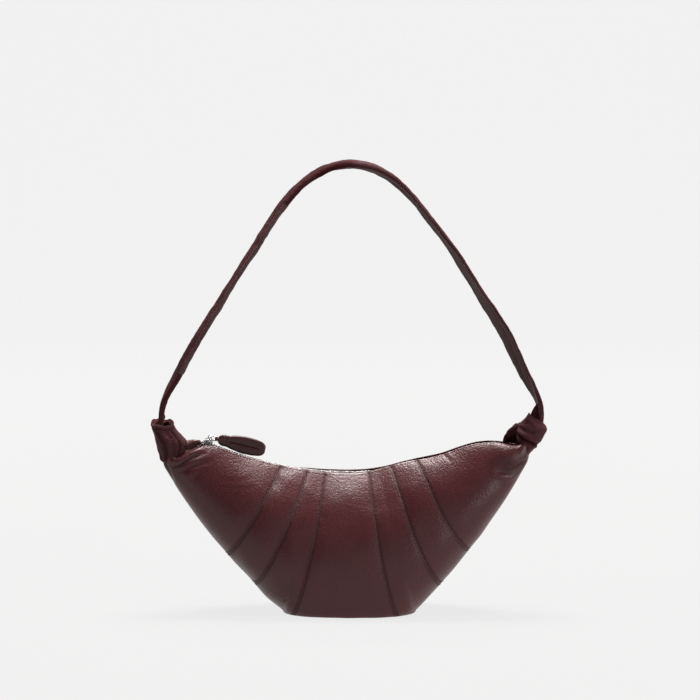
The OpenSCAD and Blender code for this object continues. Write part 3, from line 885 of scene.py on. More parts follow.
class BagZip(bpy.types.PropertyGroup):
    """The zip."""
    pitch: FloatProperty(name="Pitch", description="Distance from one tooth to the next in a row",
                         default=0.0026, min=0.002, max=0.004, unit="LENGTH")
    wire: FloatProperty(name="Ring wire", description="Thickness of the ring's wire",
                        default=0.0012, min=0.0008, max=0.0016, unit="LENGTH")


class BagStage(bpy.types.PropertyGroup):
    """The studio."""
    lens: FloatProperty(name="Lens", description="Focal length of the camera",
                        default=154.6, min=50, max=200, subtype="DISTANCE_CAMERA")
    lamps: FloatProperty(name="Lamps", description="Brightness of all lamps", default=1.0, min=0, max=3)
    backdrop: FloatProperty(name="Backdrop", description="Brightness of the backdrop", default=0.797,
                            min=0, max=1)
    bounce: FloatProperty(name="Bounce", description="Light that the backdrop throws on the bag",
                          default=0.80, min=0, max=1)


# The leather folded in at each end of the mouth, by the gore that it belongs to: where its middle
# line runs, then half of its height and half of its depth along that line
TUCKS = {
    "front_gore_1": ((-170, -165, -159, -153, -147.5), (157, 162.5, 165.8, 167.2, 166.8),
                     (5.0, 4.6, 3.8, 3.2, 1.6), (8.5, 8.0, 7.2, 6.0, 3.0)),
    "front_gore_7": ((168, 164, 159, 153, 148), (153, 156.5, 159, 160.5, 160),
                     (4.0, 4.0, 3.8, 3.2, 2.0), (7.5, 8.0, 8.2, 8.0, 7.0)),
}


# Operators

class BAG_OT_leather(bpy.types.Operator):
    """Build the fourteen gores of the front and the back"""
    bl_idname = "bag.leather"
    bl_label = "Leather gores"

    def execute(self, context):
        near_base = 0.06
        rows = np.concatenate([np.linspace(0, near_base, 5, endpoint=False),
                               np.linspace(near_base, 1, 98)])
        for side in (-1, 1):
            for i in range(1, 8):
                parts = [(SEAMS[i - 1], SEAMS[i], "left" if i < 4 else "right", "")]
                if i == 4:
                    parts = [(SEAMS[3], 0.0, "left", "_left"), (0.0, SEAMS[4], "right", "_right")]
                for first, last, half, tail in parts:
                    self.gore(side, i, first, last, half, tail, rows)
        return {"FINISHED"}

    def gore(self, side, i, first, last, half, tail, rows):
        """One gore, or one half of a middle gore, whose two halves share the normals between them."""
        columns = seam_columns(first, last, i > 1 and first != 0, i < 7 and last != 0)
        outer, normals, painted_shade_and_tone = leather_grid(columns, rows, side)
        border = []
        if tail:
            c = len(columns) - 1 if last == 0 else 0
            around, _, _ = leather_grid(np.array([-0.2, 0.0, 0.2]), rows, side)
            n = np.cross(around[2] - around[0], np.gradient(around[1], axis=0)) * -side
            border = [(c, unit(n))]
        node = f"{side_name(side)}_gore_{i}"
        obj = shell_mesh(node + tail + "_leather", outer, normals, LEATHER_T, material("body"),
                         painted_shade_and_tone, border)
        if node in TUCKS:
            obj = join(obj.name, [obj, self.tuck(*TUCKS[node])])
        bend(obj, side, half, *((node, node + "_top") if tail != "_right" else ()))

    def tuck(self, *rows):
        """The folded leather that closes an end of the mouth beside the knot."""
        at = np.linspace(0, 4, 60)
        across, up, high, deep = (curve(at, range(5), row) for row in rows)
        folds = lambda p: (0.7 * np.sin((p[..., 2] - 0.4 * p[..., 0] + 0.25 * p[..., 1]) * 0.9)
                           + 0.5 * noise(p, 4, 91))
        return tube("tuck", np.column_stack([across, 0 * at, up]), high, deep, material("body"),
                    40, hint=(0, 0, 1), power=0.8, bumps=folds)


class BAG_OT_stitches(bpy.types.Operator):
    """Sew the seams and the mouth's edge"""
    bl_idname = "bag.stitches"
    bl_label = "Stitches"

    def execute(self, context):
        thread = context.scene.bag_thread
        tree = repeat_tree("stitches", stitch_shape)
        sizes = (thread.length, thread.width, thread.width)
        for side in (-1, 1):
            for half, sign in (("left", -1), ("right", 1)):
                found = [[], [], []]
                for points, normals in self.lines(side, sign):
                    places, aims = spaced(points, thread.pitch * 1000)
                    index = np.argmin(np.linalg.norm(points[None] - places[:, None], axis=2), 1)
                    ups = normals[index]
                    for store, values in zip(found, (places + ups * STITCH_UP, unit(aims), ups)):
                        store.append(values)
                name = f"{side_name(side)}_{half}_stitches"
                obj = repeat(name, tree, *(np.concatenate(f) for f in found), sizes,
                             material("thread"), "body_leather")
                bend(obj, side, half)
        return {"FINISHED"}

    def lines(self, side, sign):
        """The rows of stitches on one quarter of the bag: their points and the leather's normals."""
        v = np.linspace(0.03, 0.955, 260)
        for seam in INNER_SEAMS:
            if seam * sign > 0:
                for off in (-STITCH_AT, STITCH_AT):
                    reach = section(np.full(v.shape, seam), v)[0]
                    yield leather_face(seam + np.degrees(off / reach), v, side)[:2]
        a = np.linspace(0.4, 60.5, 300) * sign
        v = np.full(a.shape, 0.985)
        # A few steps bring the row to its distance below the mouth's edge
        for _ in range(6):
            v = v + (section(a, v)[2] - EDGE_STITCH_AT) / 120
        yield leather_face(a, np.clip(v, 0, 1), side)[:2]


class BAG_OT_base(bpy.types.Operator):
    """Build the base panel with its rolled edge, and finish what lies on it"""
    bl_idname = "bag.base"
    bl_label = "Base"

    def execute(self, context):
        c, s = squared(full_turn(128), 2 / BASE_ROUND)
        # From the middle of its top over the rolled edge to the middle underneath: share of the
        # base's size, and height
        profile = [(0.05, 1.9), (0.5, 1.9), (0.94, 1.9), (0.985, 1.6), (0.998, 1.0), (0.985, 0.35),
                   (0.95, 0.05), (0.9, 0.0), (0.8, 0.25), (0.5, 0.3), (0.05, 0.3)]
        rings = np.array([np.stack([BASE[0] * c * k, BASE[1] * s * k, np.full(c.shape, z)], 1)
                          for k, z in profile])
        obj = ring_mesh("base_panel_leather", rings, material("body"),
                        np.zeros(rings.shape[:2]))
        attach(obj, "root")
        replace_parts(obj, "base_panel")
        for node, paint in (("base_board", "board"), ("base_lining", "lining")):
            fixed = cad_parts[node]
            fixed.data.materials.clear()
            fixed.data.materials.append(material(paint))
        return {"FINISHED"}


class BAG_OT_lining(bpy.types.Operator):
    """Hang the lining inside the leather"""
    bl_idname = "bag.lining"
    bl_label = "Lining"

    def execute(self, context):
        rows = np.linspace(0.02, 0.985, 46)
        for side in (-1, 1):
            for half, first, last in (("left", -50.0, 0.0), ("right", 0.0, 50.0)):
                a, v = np.meshgrid(np.linspace(first, last, 48), rows, indexing="ij")
                points, normals = smooth_point(a, v, side), smooth_normal(a, v, side)
                slack = 0.25 * noise(points, 14, 21)
                outer = points - normals * (LINING_IN - slack)[..., None]
                c = len(a) - 1 if last == 0 else 0
                node = f"{side_name(side)}_lining"
                obj = shell_mesh(f"{node}_{half}", outer, normals, LINING_T, material("lining"),
                                 np.zeros(a.shape), [(c, normals[c])])
                bend(obj, side, half, *((node, node + "_top") if half == "left" else ()))
        return {"FINISHED"}


class BAG_OT_zip(bpy.types.Operator):
    """Build the zip's tapes, teeth and stops"""
    bl_idname = "bag.zip"
    bl_label = "Zip"

    def execute(self, context):
        pitch = context.scene.bag_zip.pitch * 1000
        tree = repeat_tree("teeth", tooth_shape)
        for side in (-1, 1):
            for half, sign in (("left", -1), ("right", 1)):
                self.tape(side, half, sign)
                # The two rows of teeth mesh, so one row starts half a pitch further on
                x = np.arange(0.25 * pitch if side < 0 else 0.75 * pitch, TEETH_X[1], pitch) * sign
                if sign < 0:
                    x = x + (0.5 * pitch)
                    x = x[x > TEETH_X[0]]
                points = zip_point(x, side * TEETH_Y, 0.1)
                up = unit(zip_point(x, side * TEETH_Y, 1.0) - zip_point(x, side * TEETH_Y, 0.0))
                aim = np.cross(np.broadcast_to((0, -side, 0), up.shape), up)
                obj = repeat(f"{side_name(side)}_{half}_teeth", tree, points, aim, up,
                             TOOTH_FOOT, material("metal"), "zip_metal")
                bend(obj, side, half, *self.nodes(side, half, "teeth", "end_zip_teeth"))
        self.stops()
        return {"FINISHED"}

    def nodes(self, side, half, kind, ends):
        """The frame's nodes that the tape or the teeth of one quarter stand for."""
        if half == "right":
            return ()
        return (f"{side_name(side)}_zip_{kind}",) + ((ends,) if side < 0 else ())

    def tape(self, side, half, sign):
        """A tape with a rounded cord along its inner edge."""
        x = np.linspace(0, 152, 130) * sign
        across = [(2.2, 0.35), (2.6, 0.75), (3.4, 0.7), (3.9, 0.4), (7.4, 0.4)]
        across += [(y, -up) for y, up in across[::-1]]
        rings = np.stack([zip_point(x, side * y, up - 0.6) for y, up in across], 1)
        obj = ring_mesh(f"{side_name(side)}_{half}_tape", rings, material("tape"))
        bend(obj, side, half, *self.nodes(side, half, "tape", "end_zip_tapes"))

    def stops(self):
        """The metal stops at both ends of the zip."""
        parts = []
        for x in (-148, 148):
            centre = zip_point(np.array([x - 1.4, x - 0.5, x + 0.5, x + 1.4]), 0, 0.2)
            parts.append(tube(f"stop_{x}", centre, 2.4, 0.9, material("metal"), 14,
                              hint=(0, 0, 1), power=0.6))
        obj = join("zip_stops_metal", parts)
        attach(obj, "root")
        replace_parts(obj, "zip_stops")


def slider_frame():
    """The slider's place: its origin on the arc, and its axes along the zip, across and up."""
    q = math.radians(SLIDER_ANGLE)
    along, up = np.array([math.cos(q), 0, -math.sin(q)]), np.array([math.sin(q), 0, math.cos(q)])
    centre = np.array([0, 0, MOUTH_CZ])
    return centre - up * MOUTH_R, along, up


def in_slider(points):
    """Points measured from the slider: along the zip, across it and up."""
    origin, along, up = slider_frame()
    points = np.asarray(points, float)
    return (origin + points[..., :1] * along + points[..., 1:2] * np.array([0, 1, 0])
            + points[..., 2:] * up)


def in_pin(points):
    """Points measured from the slider's pin, turned as the puller rests."""
    q = math.radians(PULLER_LIFT)
    points = np.asarray(points, float)
    x = points[..., 0] * math.cos(q) - points[..., 2] * math.sin(q)
    z = points[..., 0] * math.sin(q) + points[..., 2] * math.cos(q)
    return in_slider(np.stack([x, points[..., 1], z + PIN_UP], -1))


def in_ring(points):
    """Points measured from the far eye of the ring, which the puller hangs on."""
    return in_pin(np.asarray(points, float) + np.array([LINK_L, 0, 0]))


def plate(name, outline, low, high, bevel, place, paint):
    """A plate from an outline, with rounded edges top and bottom."""
    size = np.abs(outline).max(0)
    rings = [np.column_stack([outline * (1 - shrink / size), np.full(len(outline), z)])
             for shrink, z in ((2 * bevel, low), (bevel * 0.3, low + bevel * 0.3), (0, low + bevel),
                               (0, high - bevel), (bevel * 0.3, high - bevel * 0.3), (2 * bevel, high))]
    return ring_mesh(name, place(np.array(rings)), paint)


class BAG_OT_slider(bpy.types.Operator):
    """Build the slider and the ring that carries the puller"""
    bl_idname = "bag.slider"
    bl_label = "Slider and ring"

    def execute(self, context):
        metal, (_, along, up) = material("metal"), slider_frame()
        q = full_turn(40)
        wide = 4.3 - 0.7 * np.cos(2 * q) * (np.abs(np.cos(q)) < 0.8) + 0.35 * np.cos(q)
        c, s = squared(q, 0.7)
        outline = np.column_stack([4.4 * c, wide * s])
        parts = [plate("top", outline, 2.2, 3.4, 0.35, in_slider, metal),
                 plate("low", outline, -2.4, -1.4, 0.3, in_slider, metal)]

        def bar(name, points, wide, high, sides, hint):
            parts.append(tube(name, in_slider(points), wide, high, metal, sides,
                              hint=hint))

        for y in (-1, 1):
            for middle in (1.9, -1.3):
                bar("rail", [[x, y * 4.0, middle] for x in np.linspace(-4, 4, 9)], 0.35, 0.6, 10, up)
        bar("post", [[0, 0, z] for z in np.linspace(-1.6, 2.6, 6)], 0.3, 1.4, 10, along)
        for y in (-1.9, 1.9):
            bar("arch", [[2.3 * math.cos(t), y, 2.9 + 3.2 * math.sin(t)]
                         for t in np.linspace(0, math.pi, 17)], 0.5, 0.5, 10, (0, -1, 0))
        bar("pin", [[0, y, PIN_UP] for y in np.linspace(-2.2, 2.2, 7)], 0.6, 0.6, 12, up)
        body = join("slider_metal", parts)
        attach(body, "slider")
        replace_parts(body, "slider")
        # The ring's wire runs round both eyes, with a straight length above and below
        wire = context.scene.bag_zip.wire * 500
        r, t = 1.45 + wire, np.linspace(-math.pi / 2, math.pi / 2, 12)
        straight = np.linspace(0, LINK_L, 6)[1:-1]
        xz = ((LINK_L + r * np.cos(t), r * np.sin(t)), (straight[::-1], np.full(4, r)),
              (-r * np.cos(t), -r * np.sin(t)), (straight, np.full(4, -r)))
        ring = in_pin(np.concatenate([np.column_stack([x, 0 * x, z]) for x, z in xz]))
        obj = tube("ring_metal", ring, wire, wire, metal, 12, closed=True, hint=(0, -1, 0))
        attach(obj, "pull_link")
        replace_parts(obj, "pull_link")
        return {"FINISHED"}


class BAG_OT_puller(bpy.types.Operator):
    """Build the leather puller: the strand in the ring, the wrap and the looped leaf"""
    bl_idname = "bag.puller"
    bl_label = "Puller"

    def execute(self, context):
        skin = material("puller")
        # The strand lies round the wire and runs into the wrap on both sides
        t = np.linspace(-math.pi / 2, math.pi / 2, 15)
        turn = np.column_stack([0.3 - 1.0 * np.cos(t), 1.85 * np.sin(t), np.zeros(15)])
        side = np.array([[3.9, 2.0, 0], [2.6, 1.95, 0], [1.4, 1.9, 0]])
        strand = in_ring(np.concatenate([side * (1, -1, 1), turn, side[::-1]]))
        ring_way = lambda way: in_ring(way) - in_ring((0, 0, 0))
        outwards = unit(np.cross(np.gradient(strand, axis=0), ring_way((0, 0, 1))))
        parts = [tube("strand", strand, 1.35, 0.5, skin, 14, hint=outwards,
                      power=0.7)]
        # The wrap: distance from the ring, half width and half depth
        x = np.array([2.4, 3.0, 4.0, 5.4, 7.0, 8.8, 10.5, 12.0, 13.0, 13.6])
        half = np.array([2.4, 3.3, 4.2, 5.0, 5.7, 5.9, 5.8, 5.6, 5.2, 4.4])
        deep = np.array([1.9, 2.3, 2.5, 2.6, 2.65, 2.7, 2.65, 2.6, 2.5, 2.2])
        wrap = in_ring(np.column_stack([x, 0 * x, 0 * x]))
        parts.append(tube("wrap", wrap, half, deep, skin, 32, hint=(0, -1, 0),
                          power=0.6, bumps=lambda p: 0.22 * noise(p, 2.6, 31)))
        c, s = squared(full_turn(24), 0.6)
        edge = in_ring(np.column_stack([np.full(24, 12.4), 2.95 * c, 5.75 * s]))
        parts.append(tube("wrap_edge", edge, 0.5, 0.42, skin, 10, closed=True,
                          hint=ring_way((1, 0, 0))))
        wrapped = join("puller_wrap_leather", parts)
        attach(wrapped, "puller")
        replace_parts(wrapped, "puller_wrap")
        # The leaf is a strip that runs out along one side of the loop and back along the other
        side = np.array([[12.4, 2.6], [17, 3.3], [23, 3.85], [29, 4.2], [35, 4.2], [40.5, 3.9],
                         [45, 2.9], [47.4, 1.1]])
        full = np.concatenate([side, side[::-1] * (1, -1)])
        far = travel(full)
        at = np.linspace(0, far[-1], 90)
        x, z = curve_points(at, far, full).T
        path = np.column_stack([x, 0.25 * np.sin(at / far[-1] * 9), z])
        thick = np.abs(z) * 1.04 + 0.25 + 2.6 * bell(at / far[-1] - 0.5, 0.06)
        leaf = tube("leaf", in_ring(path), thick, 2.3, skin, 24, hint=(0, -1, 0),
                    power=0.75, bumps=lambda p: 0.18 * noise(p, 4.5, 33))
        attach(leaf, "puller")
        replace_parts(leaf, "puller_loop")
        leaf.name = leaf.data.name = "puller_leaf_leather"
        return {"FINISHED"}


def knot_rings(rows):
    """Rings of a knot from rows of height, middle, half width and half depth, with the way out from
    its middle line at each point, and the angles round it."""
    q = full_turn(96)
    c, s = squared(q, 0.9)
    rings = np.stack([np.stack([x + w * c, d * s, np.full(len(q), z)], 1) for z, x, w, d in rows])
    away = rings - np.column_stack([rows[:, 1], 0 * rows[:, 0], rows[:, 0]])[:, None]
    away[..., 2] = 0
    return rings, away, q


class BAG_OT_knots(bpy.types.Operator):
    """Build the two knots that tie the strap on"""
    bl_idname = "bag.knots"
    bl_label = "Knots"

    def execute(self, context):
        self.left()
        self.right()
        return {"FINISHED"}

    def left(self):
        """A gathered sleeve, open at its top, with a hem below a rim that leans forwards."""
        heights = (148.6, 150.4, 152.6, 156.4, 160.4, 165.4, 171.4, 176.4, 181.4, 185.4, 190.4)
        middle = (-180.2, -180.4, -179.9, -178.5, -177.8, -177.8, -178.9, -181.5, -184.4, -186.4,
                  -187.6)
        half = (2.5, 6.2, 9.3, 11.9, 13.7, 15.1, 15.7, 14.3, 12.8, 11.7, 11.0)
        deep = (4.5, 9.5, 11.8, 13.2, 13.8, 14.0, 13.8, 12.8, 11.6, 10.8, 10.2)
        # The last rows turn over the rim and run down inside, further in at each row
        z = np.concatenate([np.linspace(148.6, 189.8, 84),
                            [190.4, 190.6, 190.2, 188.9, 189.6, 189.4, 187.4, 183, 176]])
        inset = np.concatenate([np.zeros(84), [0.3, 0.9, 1.5, 2.1, 3.0, 3.9, 4.6, 5.4, 9.0]])
        flat = np.column_stack([z, curve(z, heights, middle), curve(z, heights, half) - inset,
                                curve(z, heights, deep) - inset])
        rings, away, q = knot_rings(flat)
        level, inset = z[:, None] + 0 * q, inset[:, None]
        hem = 0.5 * smooth((level - 187.4) / 0.6) - 0.6 * bell(level - 187.0, 0.5)
        gather = (1.0 * np.sin(q * 8 + 1.2 * np.sin(level / 9)) * smooth((166 - level) / 14)
                  * smooth((level - 149) / 5))
        folds = 1.4 * noise(rings * np.array([1, 1, 0.45]), 8.0, 41) + 0.45 * noise(rings, 3.0, 42)
        # Creases, by their angle at three heights, their depth and width
        crease = np.zeros(level.shape)
        for turns, deep_by, wide in (((300, 303, 326), 2.1, 1.3), ((247, 250, 238), 1.3, 1.7),
                                     ((282, 276, 290), 1.0, 2.2)):
            at = (q - np.radians(np.interp(level, (150, 170, 190), turns))) * 13
            crease = crease + deep_by * (bell(at, wide) - 0.45 * bell(at - 3 * wide, 1.6 * wide))
        crease = crease * smooth((level - 151) / 6) * smooth((188 - level) / 6)
        outside = smooth((1.2 - inset) / 1.2)
        out = hem + gather + folds * (0.4 + 0.6 * smooth((188 - level) / 8)) - crease
        rings = rings + unit(away) * (out * outside)[..., None]
        wave = 0.7 * np.sin(3 * q + 0.6) + 0.5 * np.sin(7 * q + 2)
        rings[..., 2] += ((0.27 * rings[..., 1] + wave * smooth((level - 182) / 6))
                          * smooth((level - 168) / 20))
        # Painted shade: along the hem's crease, in the creases, over the rim's top, between its lips,
        # down inside the opening and at the foot where the knot meets the bag
        painted_shade_and_tone = (0.6 * bell(level - 187.0, 0.7) + 0.45 * np.maximum(crease, 0) * outside
                + 0.45 * smooth(inset / 0.6) + 0.5 * bell(inset - 2.2, 0.5)
                + smooth((inset - 4.2) / 0.6) + 0.9 * bell(level - 148, 2.5) + 0 * q).clip(0, 1)
        obj = ring_mesh("left_knot_leather", rings, material("strap"), painted_shade_and_tone)
        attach(obj, "root")
        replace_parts(obj, "left_knot")

    def right(self):
        """A rolled upper barrel over a lower band that runs to a point, with creases between them."""
        rows = np.array([
            (151.4, 176.2, 0.6), (154.4, 175.9, 2.4), (157.4, 175.6, 4.1), (161.4, 175.9, 6.4),
            (165.4, 176.9, 8.8), (169.4, 178.1, 11.0), (173.4, 179.4, 12.8), (177.4, 180.6, 14.0),
            (181.4, 181.5, 14.8), (185.4, 182.4, 14.2), (188.4, 182.6, 13.0), (191.4, 182.6, 10.0),
            (194.4, 181.4, 6.2), (197.4, 180.1, 2.5), (199.6, 179.6, 0.5)])
        z = np.linspace(rows[0, 0], rows[-1, 0], 90)
        half = curve(z, rows[:, 0], rows[:, 2])
        deep = np.minimum(np.maximum(half, 11.5 * smooth((z - 148) / 8)),
                          6 + half * 0.5 + 4 * smooth((172 - z) / 8))
        rings, away, _ = knot_rings(np.column_stack([z, curve(z, rows[:, 0], rows[:, 1]), half, deep]))
        folds = 1.2 * noise(rings * np.array([0.6, 0.8, 1.2]), 6.5, 51) + 0.35 * noise(rings, 2.8, 56)
        painted_shade_and_tone = np.zeros(rings.shape[:2])
        front = smooth((-rings[..., 1]) / 3)
        # Creases of the front, by their line, depth, width and the height of the lip above them
        for line, deep, wide, lip in (
                (((165.5, 181), (171, 176.5), (177, 173), (184, 170), (192, 168)), 3.0, 1.2, 1.5),
                (((168, 190), (166.3, 183), (166.4, 176), (168.5, 168), (173, 158)), 2.2, 1.1, 0.0),
                (((168, 187), (174, 183.5), (182, 182), (190, 183)), 0.7, 1.1, 0.6),
                (((170, 176), (173, 168), (175, 158)), 0.8, 1.2, 0.5),
                (((181, 199), (186, 193), (195, 187)), 0.9, 1.2, 0.5)):
            d, share = near_line(rings[..., 0], rings[..., 2], line)
            fade = front * smooth(share * 8 + 0.3) * smooth((1 - share) * 6)
            beside = bell(np.abs(d) - 3.0 * wide, 1.6 * wide)
            folds = folds + fade * (lip * beside - deep * bell(d, wide))
            # Painted shade in each crease, darker the deeper it is
            painted_shade_and_tone = painted_shade_and_tone + fade * 0.42 * deep * bell(d, wide * 0.9)
        size = np.linalg.norm(away, axis=2)
        rings = rings + unit(away) * (folds * smooth(size / 5))[..., None]
        obj = ring_mesh("right_knot_leather", rings, material("strap"),
                        painted_shade_and_tone.clip(0, 1))
        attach(obj, "root")
        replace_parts(obj, "right_knot")
        # What shows beside and behind the knot: a middle line, half width, half depth and painted
        # shade. The hollow is a dark piece that stands for the shade in the gap behind the loop.
        pieces = []
        for name, line, wide, deep, painted_shade_and_tone in (
                ("fold", ((173, 5.5, 186), (166, 6, 181.5), (161.3, 6.2, 178), (158.6, 6.2, 174.5)),
                 (4.6, 4.8, 4.4, 2.2), 2.2, 0.25),
                ("edge", ((163, 5.5, 181), (158, 6, 176.5), (156, 6.2, 172), (156, 6, 167)),
                 2.0, 1.8, 0.45),
                ("hollow", ((172, 8, 184), (166, 8, 178), (163.5, 8, 171), (163.5, 8, 163)),
                 7.0, 1.2, 1.0)):
            far = np.arange(len(line))
            at = np.linspace(0, far[-1], 40)
            wide = curve(at, far, np.broadcast_to(wide, len(line)))
            piece = tube(name, curve_points(at, far, line), wide, deep, material("strap"),
                         20, hint=(0, -1, 0), power=0.8,
                         bumps=lambda p: 0.35 * noise(p, 4.0, 61))
            paint_shade_and_tone(piece.data, [painted_shade_and_tone] * len(piece.data.vertices))
            pieces.append(piece)
        loop = join("right_back_loop_leather", pieces)
        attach(loop, "root")
        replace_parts(loop, "right_back_loop")


# The strap's middle line as it is seen from the front, from the left knot to the right
STRAP_PATH = (
    (-187.5, 178), (-188, 196), (-187, 206.5), (-184.5, 218.5), (-178, 230.5), (-172.5, 242.5),
    (-166.5, 254.5), (-159.5, 266.5), (-152.5, 278.5), (-145.5, 290.5), (-137.5, 302.5),
    (-130, 314.5), (-122, 326.5), (-114.5, 338.5), (-107.5, 350.5), (-99, 362.5), (-91, 374.5),
    (-85, 386.5), (-77, 398.5), (-67.5, 410.5), (-57.5, 422.5), (-46, 434.5), (-31, 443.5),
    (-14, 449.3), (0.5, 451), (15, 450.3), (31, 444.8), (48, 434.5), (59, 422.5), (69, 410.5),
    (78.5, 398.5), (87.5, 386.5), (97.5, 374.5), (106, 362.5), (113, 350.5), (120, 338.5),
    (128, 326.5), (135.5, 314.5), (143.5, 302.5), (152, 290.5), (158.5, 278.5), (163.5, 266.5),
    (169, 254.5), (174.5, 242.5), (180.5, 230.5), (187, 218.5), (190.5, 208), (191.5, 198),
    (189, 188))
# How far the strap is rolled, in degrees, by its share from -1 at the left knot to 1 at the right
STRAP_ROLL = ((-1, -0.9, -0.5, -0.3, -0.18, -0.08, 0, 0.08, 0.2, 0.3, 0.5, 0.9, 1),
              (0, 14, 15, 17, 17, 2, -8, -12, -14, -15, -20, -22, 0))
# Half width of the strap at its feet and elsewhere
STRAP_HALF = (3.3, 9.4)
# Small leaves of leather where the strap leaves each knot: name and outline, and the depth of both
FLARES = (
    ("right_flare", ((188.5, 211), (186.0, 208), (183.0, 203), (181.4, 198.5), (184, 195),
                     (190.5, 191.5), (191.5, 200))),
    ("left_flare", ((-186.5, 202), (-185.0, 199), (-184.2, 195.5), (-186, 192.5), (-189, 192),
                    (-188.5, 198))),
)
FLARE_Y = -1.0


class BAG_OT_strap(bpy.types.Operator):
    """Build the strap, a soft folded band that turns over near its top"""
    bl_idname = "bag.strap"
    bl_label = "Strap"

    def execute(self, context):
        points = np.array([(x + 1.2 * smooth((x - 60) / 40) * smooth((z - 200) / 30), 0.0,
                            z - 3.0 + 2.0 * smooth((z - 380) / 60)) for x, z in STRAP_PATH])
        for _ in range(2):
            inner = (points[:-2] + 2 * points[1:-1] + points[2:]) / 4
            points = np.concatenate([points[:1], inner, points[-1:]])
        far = travel(points)
        at = np.linspace(0, far[-1], 420)
        path = curve_points(at, far, points)
        path[:, 1] = 0
        ahead = unit(np.gradient(path, axis=0))
        side = np.column_stack([-ahead[:, 2], 0 * at, ahead[:, 0]])
        s = 2 * at / far[-1] - 1
        foot = smooth((path[:, 2] - 202) / 42)
        half = STRAP_HALF[0] + (STRAP_HALF[1] - STRAP_HALF[0]) * foot
        roll = np.radians(curve(s, *STRAP_ROLL))
        c, w = np.cos(roll)[:, None], np.sin(roll)[:, None]
        across = np.array([0, 1, 0]) * c + side * w
        over = side * c - np.array([0, 1, 0]) * w
        # v runs across the strap from -1 to 1. Its edges curl in, and it has a ridge inside
        n = 15
        v = np.linspace(-1, 1, n)
        curl = 4.2 * foot
        thick = (1.25 + 1.5 * (1 - foot) + 1.5 * bell(s, 0.14))[:, None]
        fold = 0.5 * noise(np.column_stack([at * 0.25, 0 * at, 0 * at]), 6, 71)
        lift = 1.3 - curl[:, None] * v ** 2 + 0.5 * bell(v, 0.12) * foot[:, None] + fold[:, None] * v
        width = half[:, None] * np.sin(v * 1.25) / math.sin(1.25)
        edge = np.sqrt(np.maximum(0, 1 - v ** 8))
        ridge = bell(v - 0.3 * np.sin(7 * s + 1)[:, None], 0.3) * foot[:, None]
        middle = path[:, None] + across[:, None] * width[..., None]
        outer = middle + over[:, None] * (lift + thick * edge)[..., None]
        inner = middle + over[:, None] * (lift - thick * edge - 1.1 * ridge)[..., None]
        rings = np.concatenate([outer, inner[:, ::-1][:, 1:-1]], 1)
        ripple = 0.45 * noise(rings, 9, 73) + 0.25 * noise(rings, 3.5, 74)
        rings = rings + over[:, None] * ripple[..., None]
        count = rings.shape[1]
        painted_shade_and_tone = np.zeros(rings.shape[:2])
        # Inside: painted shade on the slopes of the ridge
        slope = np.abs(np.gradient(ridge, axis=1)) * 2.2
        painted_shade_and_tone[:, n:] = slope[:, ::-1][:, 1:-1].clip(0, 0.8)
        # Outside: random streaks of darker tone over a darker ground, with painted shade at the strap's
        # top, where the overhead lamp falls hardest
        streak = noise(np.stack(np.broadcast_arrays(at[:, None] * 0.16, v * 7, 0 * v), -1), 3.2, 75)
        painted_shade_and_tone[:, :n] = (0.22 + 0.5 * streak + 0.5 * bell(s + 0.04, 0.22)[:, None]).clip(0, 1)
        band = ring_mesh("strap_leather_band", rings, material("strap"), painted_shade_and_tone)
        obj = join("strap_leather_band", [band] + [self.flare(*f) for f in FLARES])
        obj.data.materials.append(material("strap_inner_and_highlight"))
        # The underside, which has its own lighter leather, and parts of both edges where the same
        # lighter leather is laid on as a painted highlight
        quads = (len(rings) - 1) * count
        index = np.zeros(len(obj.data.polygons), int)
        ring_face = np.arange(quads) % count
        around = np.repeat(s[:-1], count)
        under = (ring_face >= n) & (ring_face < count - 1) & (np.abs(around) < 0.97)
        painted_highlight_edge = (ring_face < 3) & (around > -0.8) & (around < -0.22)
        painted_highlight_edge |= (ring_face >= count - 3) & (around > 0.26) & (around < 0.48)
        index[:quads] = under | painted_highlight_edge
        obj.data.polygons.foreach_set("material_index", index)
        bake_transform(obj)
        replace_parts(obj, "strap", "left_stem", "right_stem")
        return {"FINISHED"}

    def flare(self, name, outline):
        """A thin leaf with rounded edges that stands across the view."""
        n = len(outline)
        at = np.linspace(0, n, 6 * n, endpoint=False)
        outline = curve_points(at, np.arange(n + 1), (*outline, outline[0]))
        middle = outline.mean(0)
        rings = []
        for size, y in ((0.05, 0.2), (0.75, -0.3), (0.95, 0.0), (1.0, 0.6), (0.95, 1.2), (0.05, 1.4)):
            x, z = (middle + (outline - middle) * size).T
            rings.append(np.column_stack([x, np.full(len(x), FLARE_Y + y), z]))
        # The whole leaf is painted darker: painted shade
        return ring_mesh(name, np.array(rings), material("strap"),
                         np.full((len(rings), len(outline)), 0.75))


